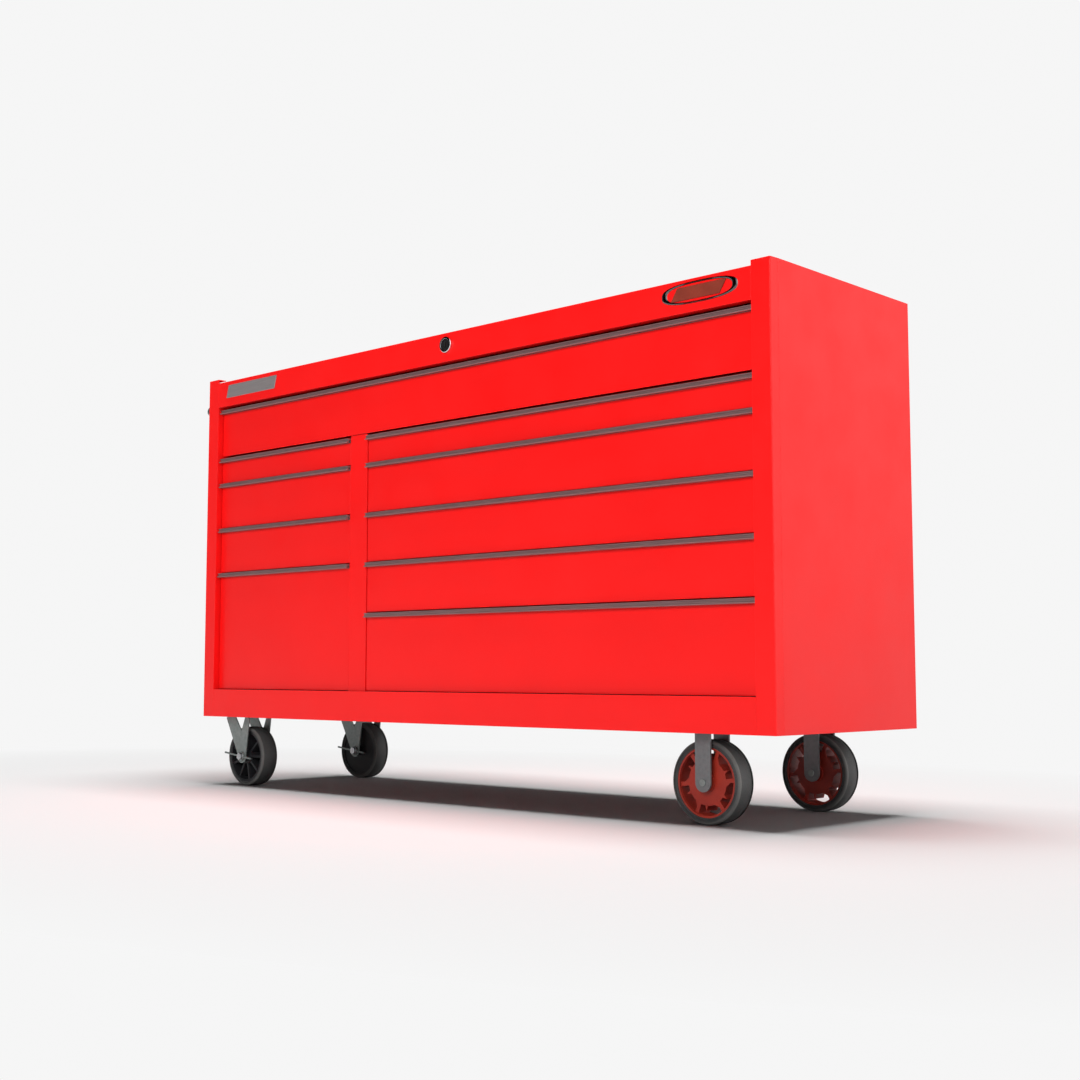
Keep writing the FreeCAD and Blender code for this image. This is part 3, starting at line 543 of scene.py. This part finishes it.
EXTRUSION = extrusion_tree(PULL_METAL_RED_REFLECTION)
DRAWERS = [name for name in bodies if name.startswith("drawer_")]
for drawer in DRAWERS:
    low, high = place_of(drawer + "_pull")
    face = section_face(pull_outline(low, high), low.x)
    pull = run(EXTRUSION, drawer + "_pull_bar", PULL_METAL_RED_REFLECTION, {"Length": high.x - low.x}, face)
    outward(pull)
    smooth_by_angle(pull, 40)
    seat(pull, drawer, "pull_aluminium", drawer + "_pull")
print("pulls", len(DRAWERS), "faces each", len(pull.data.polygons))

# %% [markdown]
# ## The drawers
# A drawer is one welded piece of sheet, with a zinc-plated runner on each wall. The CAD
# node holds all three solids; here they are parted, so that the runners get their own
# finish.

# %% Drawer boxes and runners
DRAWER_FOLD = 0.4 * MM


def loose_parts(bm):
    """The separate solids in a mesh, as lists of vertices, the widest first.

    A dict keeps the mesh's own order where a set would not, so every run gives the same list.
    """
    waiting = dict.fromkeys(bm.verts)
    parts = []
    while waiting:
        seed = next(iter(waiting))
        del waiting[seed]
        part, edge_of = [seed], [seed]
        while edge_of:
            for edge in edge_of.pop().link_edges:
                for vertex in edge.verts:
                    if vertex in waiting:
                        del waiting[vertex]
                        part.append(vertex)
                        edge_of.append(vertex)
        parts.append(part)

    def width(part):
        return max(v.co.x for v in part) - min(v.co.x for v in part)

    return sorted(parts, key=width, reverse=True)


def part_piece(node, chosen, name, material, width):
    """One or more of a node's solids as a finished piece of their own."""
    bm = merged_copy(node)
    parts = loose_parts(bm)
    keep = {vertex for index in chosen for vertex in parts[index]}
    bmesh.ops.delete(bm, geom=[v for v in bm.verts if v not in keep], context="VERTS")
    return round_edges(from_bmesh(name, bm, material), width)


for drawer in DRAWERS:
    box = part_piece(drawer, (0,), drawer + "_box", RED, DRAWER_FOLD)
    runners = part_piece(drawer, (1, 2), drawer + "_runners", ZINC, THIN_FOLD)
    seat(box, drawer, "red_paint", drawer)
    seat(runners, drawer, "zinc", drawer)
print("drawers", len(DRAWERS), "faces in the last box", len(box.data.polygons))

# %% [markdown]
# ## Ribbed sheets
# A thin ribbed sheet lies on each drawer's floor, and a heavier one on the chest's top. The
# ribs could be a bump in the material, but then a low light would not catch them. Here they
# are real: a tree lays a slab and sets one long round rib at each step of an even pitch.

# %% A drawer liner
def ribbed_tree(material):
    """A flat sheet with round-backed ribs along X, set at an even pitch in Y."""
    tree = Tree("ribbed_sheet", {"Low": "Vector", "Size": "Vector", "Pitch": "Float",
                                 "Rib": "Float"}, geometry=False)
    source = tree.source
    size = tree.add("ShaderNodeSeparateXYZ", {0: source["Size"]}).outputs
    flat = tree.math("SUBTRACT", size["Z"], tree.math("MULTIPLY", source["Rib"], 0.5))
    slab_size = tree.vector(size["X"], size["Y"], flat)
    half = tree.add("ShaderNodeVectorMath", {0: slab_size, "Scale": 0.5}, operation="SCALE")
    slab = tree.add("GeometryNodeMeshCube", {"Size": slab_size})
    slab = tree.moved(slab.outputs["Mesh"], half.outputs[0])
    count = tree.math("FLOOR", tree.math("DIVIDE", size["Y"], source["Pitch"]))
    span = tree.math("MULTIPLY", tree.math("SUBTRACT", count, 1.0), source["Pitch"])
    edge = tree.math("MULTIPLY", tree.math("SUBTRACT", size["Y"], span), 0.5)
    first = tree.vector(tree.math("MULTIPLY", size["X"], 0.5), edge, flat)
    rows = tree.add("GeometryNodeMeshLine", {
        "Count": count, "Start Location": first, "Offset": tree.vector(y=source["Pitch"])},
        mode="OFFSET", count_mode="TOTAL")
    rib = tree.add("GeometryNodeMeshCylinder", {
        "Vertices": 8, "Radius": tree.math("MULTIPLY", source["Rib"], 0.5),
        "Depth": tree.math("SUBTRACT", size["X"], source["Pitch"])}, fill_type="NGON")
    rib = tree.moved(rib.outputs["Mesh"], (0, 0, 0), (0, pi / 2, 0))
    ribs = tree.add("GeometryNodeInstanceOnPoints", {"Points": rows.outputs[0], "Instance": rib})
    whole = tree.join(slab, ribs.outputs[0])
    return tree.finish(tree.moved(whole, source["Low"]), material)


LINER_SHEET = ribbed_tree(LINER)
LINER_THICK = 2.5 * MM
LINER_RIBS = {"Pitch": 7.0 * MM, "Rib": 1.6 * MM}
OPENING_LIFT = 1.0 * MM  # how far a drawer's stated opening stands off its floor
openings = {item["name"]: item["box_m"] for item in frame["record"]["physics"]["openings"]}
for drawer in DRAWERS:
    low, high = (Vector(corner) for corner in openings[drawer + "_inside"])
    low.z -= OPENING_LIFT
    size = Vector((high.x - low.x, high.y - low.y, LINER_THICK))
    liner = run(LINER_SHEET, drawer + "_liner", LINER, {"Low": low, "Size": size, **LINER_RIBS})
    smooth_by_angle(liner, 50)
    seat(liner, drawer, "mat_rubber")
print("liners", len(DRAWERS), "faces in the last", len(liner.data.polygons))

# %% [markdown]
# The top mat takes the same tree, with heavier ribs set farther apart. Its place is read
# from the CAD mat, so it lies between the raised edges of the top.

# %% Top mat
MAT_RIBS = {"Pitch": 9.0 * MM, "Rib": 3.0 * MM}
low, high = place_of("top_mat")
mat = run(ribbed_tree(MAT), "top_mat_ribbed", MAT, {"Low": low, "Size": high - low, **MAT_RIBS})
smooth_by_angle(mat, 50)
seat(mat, "cabinet", "mat_rubber", "top_mat")
print("mat ribs make", len(mat.data.polygons), "faces")

# %% [markdown]
# ## Back panel
# The back is a plain sheet, riveted around its edge. Rivets repeat at an even pitch, so a
# tree sets a low dome on each of a list of points. The sheet is drawn a rivet's height
# thinner than the CAD panel, so that the domes stay inside the panel's own thickness.

# %% Riveted back
def dome_tree(material):
    """Domes that face +Y, one on each point."""
    tree = Tree("rivets", {"Radius": "Float", "Height": "Float"})
    ball = tree.add("GeometryNodeMeshUVSphere", {"Segments": 12, "Rings": 6, "Radius": 1.0})
    squashed = tree.add("GeometryNodeTransform", {
        "Geometry": ball.outputs["Mesh"],
        "Scale": tree.vector(tree.source["Radius"], tree.source["Height"], tree.source["Radius"])})
    domes = tree.add("GeometryNodeInstanceOnPoints",
                     {"Points": tree.source["Geometry"], "Instance": squashed.outputs[0]})
    return tree.finish(domes.outputs[0], material)


def points(places):
    """A mesh of bare points, for a tree to set shapes on."""
    mesh = bpy.data.meshes.new("places")
    mesh.from_pydata([tuple(p) for p in places], [], [])
    return mesh


def even(start, end, pitch):
    """Evenly spaced values from start to end, near a pitch."""
    count = max(1, round((end - start) / pitch))
    return [start + (end - start) * i / count for i in range(count + 1)]


def sheet_box(name, low, high, material, width):
    """A flat sheet between two corners, with eased edges."""
    bm = bmesh.new()
    bmesh.ops.create_cube(bm, size=1.0)
    for vertex in bm.verts:
        vertex.co = Vector((low[i] + (vertex.co[i] + 0.5) * (high[i] - low[i])) for i in range(3))
    return round_edges(from_bmesh(name, bm, material), width)


RIVET_PROUD = 0.8 * MM
RIVET_RADIUS = 3.2 * MM
EDGE_INSET = 12 * MM
PITCH_ALONG = 150 * MM
PITCH_UP = 120 * MM
low, high = place_of("back_panel")
panel = sheet_box("back_panel_sheet", low, high - Vector((0, RIVET_PROUD, 0)), RED, THIN_FOLD)
seat(panel, "cabinet", "red_paint", "back_panel")
columns = even(low.x + EDGE_INSET, high.x - EDGE_INSET, PITCH_ALONG)
rows = even(low.z + EDGE_INSET, high.z - EDGE_INSET, PITCH_UP)
ring = [(x, high.y - RIVET_PROUD, z) for x in columns for z in (rows[0], rows[-1])]
ring += [(x, high.y - RIVET_PROUD, z) for x in (columns[0], columns[-1]) for z in rows[1:-1]]
rivets = run(dome_tree(RED), "back_panel_rivets", RED,
             {"Radius": RIVET_RADIUS, "Height": RIVET_PROUD}, points(ring))
smooth_by_angle(rivets, 60)
seat(rivets, "cabinet", "red_paint")
print("rivets", len(ring))

# %% [markdown]
# ## Lathe work
# The tyres, the handle's tube and its caps are turned shapes. Blender's Spin could make
# them; a short loop does the same and leaves no seam to merge. It spins a closed profile of
# (radius, distance along the axis) pairs about an axis that runs along Y.

# %% Lathe helper
def lathe(name, profile, centre, material, steps):
    """Spins a closed profile about the Y axis through a centre."""
    bm = bmesh.new()
    rings = []
    for radius, along in profile:
        ring_verts = []
        for step in range(steps):
            turn = 2 * pi * step / steps
            offset = Vector((radius * cos(turn), along, radius * sin(turn)))
            ring_verts.append(bm.verts.new(centre + offset))
        rings.append(ring_verts)
    for first, second in zip(rings, rings[1:] + rings[:1]):
        for step in range(steps):
            following = (step + 1) % steps
            bm.faces.new((first[step], first[following], second[following], second[step]))
    bmesh.ops.recalc_face_normals(bm, faces=bm.faces)
    return smooth_by_angle(from_bmesh(name, bm, material), 40)


# %% [markdown]
# ## Wheels
# Each tyre is turned around its hub's rim: a narrow bead beside the hub, a flat sidewall, a
# rounded shoulder and a slightly crowned tread. A paling attribute is highest on the
# shoulders and fades towards the tread and the sidewall. It is partly real scuffing and partly
# a painted highlight where light catches the shoulders and the tread; being in the mesh, it
# stays in place when the wheel turns. The hubs keep their CAD shape.

# %% Tyres and hubs
BEAD = ((0.0, 3.0), (0.6, 1.2), (2.2, 0.8), (3.0, 1.6), (4.0, 0.4))  # out, in from the side; mm


def tyre_profile(hub_radius, radius, half):
    """Half the section from the hub to the crown, mirrored for the other side."""
    shoulder = 6.0 * MM
    crown = 0.5 * MM
    side = [(hub_radius, 0.0)]
    side += [(hub_radius + out * MM, half - inwards * MM) for out, inwards in BEAD]
    side += [(radius - crown - shoulder + r, half - shoulder + a)
             for a, r in arc((0.0, 0.0), shoulder, 80, 8, 7)]
    side += [(radius - crown * 0.35, half * 0.45), (radius, 0.0)]
    mirrored = [(r, -a) for r, a in side[-2:0:-1]]
    return side + mirrored


SHOULDER_AT, SHOULDER_SPREAD = 0.86, 0.30  # shares of the half width
SIDEWALL_FROM, TREAD_FROM = 0.35, 0.9      # shares of the rubber's depth
# How far the shoulders and tread turn pale: partly scuffing, partly a painted highlight.
SHOULDER_SCUFF_AND_HIGHLIGHT, TREAD_SCUFF_AND_HIGHLIGHT = 0.85, 0.22


def scuffed_and_highlit(piece, centre, hub_radius, radius, half):
    """Writes how pale each point of a tyre turns: real scuffing plus a painted highlight on the
    shoulders and the tread.
    """
    values = piece.data.attributes.new("scuff_and_highlight", "FLOAT", "POINT")
    for vertex, value in zip(piece.data.vertices, values.data):
        offset = vertex.co - centre
        across = abs(offset.y) / half
        out = (sqrt(offset.x ** 2 + offset.z ** 2) - hub_radius) / (radius - hub_radius)
        near = max(0.0, 1.0 - abs(across - SHOULDER_AT) / SHOULDER_SPREAD)
        shoulder = near if out > SIDEWALL_FROM else 0.0
        value.value = SHOULDER_SCUFF_AND_HIGHLIGHT * shoulder + (TREAD_SCUFF_AND_HIGHLIGHT if out > TREAD_FROM else 0.0)


HUB_EDGE = 0.8 * MM
for side, end in product(("right", "left"), ("front", "back")):
    wheel = f"wheel_{side}_{end}"
    low, high = place_of(f"tyre_{side}_{end}")
    hub_low, hub_high = place_of(f"hub_{side}_{end}")
    centre = (low + high) / 2
    radius = (high.z - low.z) / 2
    hub_radius = (hub_high.z - hub_low.z) / 2
    half = (high.y - low.y) / 2
    tyre = lathe(f"tyre_{side}_{end}_turned", tyre_profile(hub_radius, radius, half), centre,
                 TYRE, steps=128)
    scuffed_and_highlit(tyre, centre, hub_radius, radius, half)
    seat(tyre, wheel, "tyre_rubber", f"tyre_{side}_{end}")
    slot, material = ("hub_red", HUB_RED) if side == "right" else ("hub_black", HUB_BLACK)
    finished(f"hub_{side}_{end}", wheel, slot, material, HUB_EDGE)
print("wheel radius", round(radius, 4), "hub radius", round(hub_radius, 4))

# %% [markdown]
# ## Forks, plates and levers
# The forks, plates and brake levers are pressings of plated steel. Their CAD shapes have the
# real bends and notches, so they only need rounded edges and a dull metal.

# %% Pressings
PRESSED_EDGE = 0.5 * MM
for node, body in (("swivel_plates", "cabinet"), ("swivel_fork_front", "swivel_front"),
                   ("swivel_fork_back", "swivel_back")):
    finished(node, body, "caster_steel", FORK_STEEL, PRESSED_EDGE)
rigid = finished("rigid_forks", "cabinet", "caster_steel", STRAP_STEEL, PRESSED_EDGE)
for end in ("front", "back"):
    finished(f"brake_lever_{end}", f"brake_{end}", "caster_steel", FORK_STEEL, FOLD)
print("faces in the rigid forks", len(rigid.data.polygons))

# %% [markdown]
# ## Caster bolts
# Four bolts hold each caster's plate, sixteen in all. Each is a hexagon head, a shank and a
# nut. They are one shape in sixteen places, so a tree puts a bolt where each CAD bolt is.

# %% Hexagon bolts
def solid_boxes(node):
    """Lowest and highest corner of each separate solid in a node."""
    bm = merged_copy(node)
    boxes = []
    for part in loose_parts(bm):
        spots = [vertex.co.copy() for vertex in part]
        boxes.append((Vector([min(s[i] for s in spots) for i in range(3)]),
                      Vector([max(s[i] for s in spots) for i in range(3)])))
    bm.free()
    return boxes


def bolt_tree(material):
    """A bolt standing on each point, its head lowest: hexagon head, shank and nut."""
    tree = Tree("hex_bolts", {"Head": "Float", "Shank": "Float", "Length": "Float",
                              "Thick": "Float"})
    source = tree.source

    def turned(sides, radius, depth, height):
        made = tree.add("GeometryNodeMeshCylinder", {"Vertices": sides, "Radius": radius,
                                                     "Depth": depth}, fill_type="NGON")
        return tree.moved(made.outputs["Mesh"], tree.vector(z=height))

    thick = source["Thick"]
    head = turned(6, source["Head"], thick, tree.math("MULTIPLY", thick, 0.5))
    shank = turned(12, source["Shank"], source["Length"],
                   tree.math("MULTIPLY", source["Length"], 0.5))
    nut = turned(6, source["Head"], thick, tree.math("SUBTRACT", source["Length"], thick))
    bolts = tree.add("GeometryNodeInstanceOnPoints",
                     {"Points": source["Geometry"], "Instance": tree.join(head, shank, nut)})
    return tree.finish(bolts.outputs[0], material)


BOLT_SHANK = 4.0 * MM
HEAD_THICK = 4.0 * MM
boxes = solid_boxes("caster_bolts")
heads = [Vector(((a.x + b.x) / 2, (a.y + b.y) / 2, a.z)) for a, b in boxes]
bolt_low, bolt_high = boxes[0]
bolts = run(bolt_tree(ZINC), "caster_bolts_hex", ZINC, {
    "Head": (bolt_high.x - bolt_low.x) / 2, "Shank": BOLT_SHANK,
    "Length": bolt_high.z - bolt_low.z, "Thick": HEAD_THICK}, points(heads))
smooth_by_angle(bolts, 35)
seat(bolts, "cabinet", "zinc", "caster_bolts")
print("caster bolts", len(heads))

# %% [markdown]
# ## Axles
# The axles show as a round-headed bolt in front of each strap fork, and as a hexagon nut on
# a washer in front of each swivel fork. Both are built up from turned and six-sided rings.

# %% Axles
def stack(name, rings, centre, material):
    """Rings along Y, each (start, end, radius, sides), joined in one mesh."""
    bm = bmesh.new()
    turn = Matrix.Rotation(pi / 2, 4, "X")
    for start, end, radius, sides in rings:
        middle = Matrix.Translation(Vector((centre.x, (start + end) / 2, centre.z)))
        bmesh.ops.create_cone(bm, cap_ends=True, segments=sides, radius1=radius, radius2=radius,
                              depth=end - start, matrix=middle @ turn)
    bmesh.ops.recalc_face_normals(bm, faces=bm.faces)
    return round_edges(from_bmesh(name, bm, material), PRESSED_EDGE)


ROUND, SHANK_SIDES, HEXAGON = 32, 24, 6
SHANK = 5.0 * MM
WASHER = 1.0 * MM
NUT_T = 5.0 * MM
LOW_HEAD_T = 2.5 * MM
SHANK_SHORT = 0.2 * MM


def axle_rings(low, high, head_t, head_sides):
    """Shank from end to end, with a head or nut at each end and a washer under each."""
    head = (high.x - low.x) / 2
    return [
        (low.y + SHANK_SHORT, high.y - SHANK_SHORT, SHANK, SHANK_SIDES),
        (low.y, low.y + head_t - WASHER, head, head_sides),
        (low.y + head_t - WASHER, low.y + head_t, head, ROUND),
        (high.y - head_t, high.y - head_t + WASHER, head, ROUND),
        (high.y - head_t + WASHER, high.y, head, HEXAGON),
    ]


front_box, back_box = sorted(solid_boxes("rigid_axles"), key=lambda b: b[0].y)
for end, (low, high) in (("front", front_box), ("back", back_box)):
    rings = axle_rings(low, high, LOW_HEAD_T, ROUND)
    axle = stack(f"rigid_axle_{end}", rings, (low + high) / 2, FORK_STEEL)
    seat(axle, "cabinet", "zinc", "rigid_axles")
for end in ("front", "back"):
    low, high = place_of(f"swivel_axle_{end}")
    rings = axle_rings(low, high, NUT_T, HEXAGON)
    axle = stack(f"swivel_axle_{end}_bolt", rings, (low + high) / 2, ZINC)
    seat(axle, f"swivel_{end}", "zinc", f"swivel_axle_{end}")
print("swivel axle length", round(high.y - low.y, 4))

# %% [markdown]
# ## Push handle
# A satin tube on two brackets, with rounded end caps of the same metal. The tube and the
# caps are turned on the lathe helper, the tube a little slimmer so that the caps show; the
# brackets keep their CAD shape.

# %% Handle
BRACKET_EDGE = 0.7 * MM
low, high = place_of("push_handle_bar")
centre = (low + high) / 2
cap_r = (high.z - low.z) / 2
half_length = (high.y - low.y) / 2
CAP = 16 * MM
CORE = 0.5 * MM
TUBE_R = cap_r - 0.3 * MM
TUBE_END = half_length - CAP


def cap_profile(outer, start, end):
    """A rounded cap between two places along the tube; start is its end at the tube."""
    way = 1 if end > start else -1
    bend = outer * 0.5
    curve = [(outer - bend + bend * cos(t), end - way * bend + way * bend * sin(t))
             for t in (i * pi / 12 for i in range(7))]
    return [(CORE, start), (outer, start)] + curve + [(CORE, end)]


tube_profile = [(CORE, -TUBE_END), (TUBE_R, -TUBE_END), (TUBE_R, TUBE_END), (CORE, TUBE_END)]
tube = lathe("push_handle_tube", tube_profile, centre, HANDLE_METAL, steps=48)
seat(tube, "cabinet", "handle_metal", "push_handle_bar")
for index, way in enumerate((-1, 1)):
    profile = cap_profile(cap_r, way * TUBE_END, way * half_length)
    cap = lathe(f"push_handle_cap_{index}", profile, centre, HANDLE_METAL, steps=48)
    seat(cap, "cabinet", "handle_metal", "push_handle_bar")
finished("push_handle_brackets", "cabinet", "handle_metal", HANDLE_METAL, BRACKET_EDGE)
bracket_boxes = solid_boxes("push_handle_brackets")
print("handle length", round(2 * half_length, 3), "brackets", len(bracket_boxes))

# %% [markdown]
# ## Lock
# The lock is a chrome ring around a dark plug with a key slot. The plug's CAD node has the
# real slot, so it only needs rounded edges, and it turns with the cam behind it.

# %% Lock
LOCK_EDGE = 0.4 * MM
finished("lock_housing", "cabinet", "lock_chrome", CHROME, LOCK_EDGE)
plug = finished("lock_plug", "lock", "lock_plug", PLUG_METAL, THIN_FOLD)
finished("lock_cam", "lock", "zinc", ZINC, THIN_FOLD)
print("faces in the lock's plug", len(plug.data.polygons))

# %% [markdown]
# ## Badges
# Two raised badges sit on the top rail. They stay blank: a satin plate with slanted ends, and
# a dark oval ring with a slanted bar in brick enamel across it. They could be drawn as
# curves, but so few faces are as quick in mesh code, and a bevel makes them catch the light.

# %% Badges
def slanted_plate(name, low, high, lean, material, width):
    """A flat bar with slanted ends, in the XZ plane."""
    bm = bmesh.new()
    outline = [(low.x, low.z), (high.x - lean, low.z), (high.x, high.z), (low.x + lean, high.z)]
    back = [bm.verts.new((x, high.y, z)) for x, z in outline]
    front = [bm.verts.new((x, low.y, z)) for x, z in outline]
    bm.faces.new(back)
    bm.faces.new(front)
    for i in range(len(outline)):
        j = (i + 1) % len(outline)
        bm.faces.new((back[i], back[j], front[j], front[i]))
    bmesh.ops.recalc_face_normals(bm, faces=bm.faces)
    return round_edges(from_bmesh(name, bm, material), width, segments=3)


FULLNESS = 0.75  # 1 is a true ellipse, and less is squarer
DOME = ((0, 0), (0.1, 0.6), (0.3, 1), (0.7, 1), (0.9, 0.6), (1, 0))  # share across, share up


def oval(wide, tall, turn):
    """A point on an oval with full, rounded ends."""
    across, up = cos(turn), sin(turn)
    return Vector((wide * abs(across) ** FULLNESS * (1 if across > 0 else -1), 0,
                   tall * abs(up) ** FULLNESS * (1 if up > 0 else -1)))


def oval_ring(name, low, high, thin, thick, material, steps=96):
    """A domed oval ring, thicker at its left and right ends."""
    centre = (low + high) / 2
    middle = Vector((centre.x, high.y, centre.z))
    wide, tall = (high.x - low.x) / 2, (high.z - low.z) / 2
    depth = high.y - low.y
    bm = bmesh.new()
    loops = []
    for step in range(steps):
        turn = 2 * pi * (step + 0.5) / steps
        rim, hole = oval(wide, tall, turn), oval(wide - thick, tall - thin, turn)
        loops.append([bm.verts.new(middle + rim.lerp(hole, part) - Vector((0, rise * depth, 0)))
                      for part, rise in DOME])
    for first, second in zip(loops, loops[1:] + loops[:1]):
        for i in range(len(first)):
            j = (i + 1) % len(first)
            bm.faces.new((first[i], first[j], second[j], second[i]))
    bmesh.ops.recalc_face_normals(bm, faces=bm.faces)
    return smooth_by_angle(from_bmesh(name, bm, material), 50)


PLATE_LEAN, BAR_LEAN = 9 * MM, 16 * MM
PLATE_EDGE, BAR_EDGE = 0.9 * MM, 0.7 * MM
RING_THIN, RING_THICK = 4 * MM, 13 * MM
BAR_FROM, BAR_TO, BAR_UP = 0.13, 0.14, 0.2  # gaps to the oval's box, as shares of its size
plate_box, oval_box = sorted(solid_boxes("badges"), key=lambda box: box[0].x)
plate = slanted_plate("badge_plate", *plate_box, PLATE_LEAN, BADGE_METAL, PLATE_EDGE)
seat(plate, "cabinet", "badge_metal", "badges")
ring = oval_ring("badge_oval_ring", *oval_box, RING_THIN, RING_THICK, DARK_CHROME)
seat(ring, "cabinet", "badge_metal", "badges")
low, high = oval_box
size = high - low
bar_low = low + Vector((BAR_FROM * size.x, 0, BAR_UP * size.z))
bar_high = high - Vector((BAR_TO * size.x, 0, BAR_UP * size.z))
bar = slanted_plate("badge_oval_bar", bar_low, bar_high, BAR_LEAN, BRICK, BAR_EDGE)
seat(bar, "cabinet", "hub_red", "badges")
print("badge ring width", round(high.x - low.x, 3))

# %% [markdown]
# ## Studio floor
# The floor is plain pale paper. It could be a curved sweep that rises behind the chest, but
# the chest is looked at from all round, so it is flat and very wide, and fades with distance
# into a glow of the backdrop's own white.

# %% Floor
WHITE = 0.92
SPAN = 60.0
FADE_FROM, FADE_TO = 0.7, 1.7


def studio_floor():
    """Paper near the chest, and the backdrop's white beyond an oval around it."""
    paper = Finish("studio_paper", Roughness=0.9)
    where = paper.place()
    paper.feed(paper.shader, {
        "Base Color": (0.86, 0.86, 0.86, 1),
        "Normal": paper.bump(paper.noise(where, 60.0, 3.0), 0.02, 0.002),
    })
    glow = paper.add("Emission", {"Color": (WHITE, WHITE, WHITE, 1), "Strength": 1.0})
    oval = paper.place((0.62, 1, 1))
    distance = paper.add("VectorMath", {0: oval}, operation="LENGTH").outputs["Value"]
    fade = paper.remap(distance, FADE_FROM, FADE_TO, 0.0, 1.0)
    blend = paper.add("MixShader", {0: fade, 1: paper.shader.outputs[0], 2: glow.outputs[0]})
    output = paper.tree.nodes["Material Output"]
    paper.tree.links.new(blend.outputs[0], output.inputs["Surface"])
    return paper.material


floor_mesh = bpy.data.meshes.new("studio_floor")
floor_mesh.from_pydata([(-SPAN, -SPAN, 0), (SPAN, -SPAN, 0), (SPAN, SPAN, 0), (-SPAN, SPAN, 0)],
                       [], [(0, 1, 2, 3)])
floor = link("studio_floor", floor_mesh, studio_floor())
print("floor is", 2 * SPAN, "m wide")

# %% [markdown]
# ## Backdrop
# The camera sees plain white all round. What shiny parts see is set apart by the kind of ray:
# bright on the right, a little light on the left and dim in front, so that the side panel
# gets a pale sheen and the front stays a deep red.

# %% World
class Sky(Finish):
    """The world's node tree, with the same calls as a material's."""

    def __init__(self, world):
        world.use_nodes = True
        self.tree = world.node_tree
        self.shader = self.tree.nodes["Background"]

    def choose(self, factor, first, second):
        return self.add("Mix", {0: factor, 2: first, 3: second}, data_type="FLOAT").outputs[0]


DIM = 0.06
scene = bpy.context.scene
scene.view_settings.view_transform = "Standard"
world = bpy.data.worlds.new("studio")
sky = Sky(world)
path = sky.add("LightPath").outputs
way = sky.add("TexCoord").outputs["Generated"]
parts = sky.add("SeparateXYZ", {0: way}).outputs
right = sky.remap(parts["X"], 0.1, 0.75, 0.0, 1.5)
left = sky.remap(parts["X"], -0.78, -0.90, 0.0, 0.3)
rise = sky.remap(parts["Z"], 0.0, 0.3, 1.0, 1.5)
mirrored = sky.math("ADD", sky.math("MULTIPLY", right, rise), left)
seen = sky.choose(path["Is Glossy Ray"], DIM, mirrored)
sky.feed(sky.shader, {"Color": (1, 1, 1, 1),
                      "Strength": sky.choose(path["Is Camera Ray"], seen, WHITE)})
scene.world = world
print("white", WHITE, "dim", DIM)

# %% [markdown]
# ## Lights
# A broad soft light overhead makes the shadow under the chest. Two more light the front and
# the side. They are linked to everything but the floor, so that they can't wash that shadow
# out, and no lamp shows in the shiny parts, where it would draw a hard white patch.

# %% Lights
all_but_floor = bpy.data.collections.new("all_but_floor")
all_but_floor.objects.link(floor)
all_but_floor.collection_objects[0].light_linking.link_state = "EXCLUDE"


def soft_light(name, place, target, size, power, on_floor=False):
    """A rectangle of light at a place, turned towards a target."""
    lamp = bpy.data.lights.new(name, "AREA")
    lamp.shape = "RECTANGLE"
    lamp.size, lamp.size_y = size
    lamp.energy = power
    holder = bpy.data.objects.new(name, lamp)
    holder.location = place
    aim = Vector(target) - Vector(place)
    holder.rotation_euler = aim.to_track_quat("-Z", "Y").to_euler()
    scene.collection.objects.link(holder)
    holder.visible_glossy = False
    if not on_floor:
        holder.light_linking.receiver_collection = all_but_floor


CENTRE = (cad_box[0] + cad_box[1]) / 2
soft_light("overhead", (0.0, 0.0, 6.0), (0.0, 0.0, 0.0), size=(4.2, 3.2), power=420,
           on_floor=True)
soft_light("right_side", (4.2, 0.3, 0.8), CENTRE, size=(2.5, 2.5), power=75)
soft_light("front_fill", (1.2, -4.0, 2.0), CENTRE, size=(4.0, 1.5), power=152)
print("lights", len(bpy.data.lights))

# %% [markdown]
# ## Camera
# The camera stands low, off the chest's front right corner, and looks a little upwards. A
# normal lens keeps the long front from stretching as a wide one would.

# %% Camera
LENS = 49.95
SENSOR = 36.0
EYE = (2.3820, -2.4385, 0.2834)
TILT, PAN = 94.988, 43.033
camera_data = bpy.data.cameras.new("camera")
camera_data.lens = LENS
camera_data.sensor_width = SENSOR
camera = bpy.data.objects.new("camera", camera_data)
camera.location = EYE
camera.rotation_euler = (radians(TILT), 0.0, radians(PAN))
scene.collection.objects.link(camera)
scene.camera = camera
print("camera is", round((camera.location - CENTRE).length, 2), "m from the chest's middle")
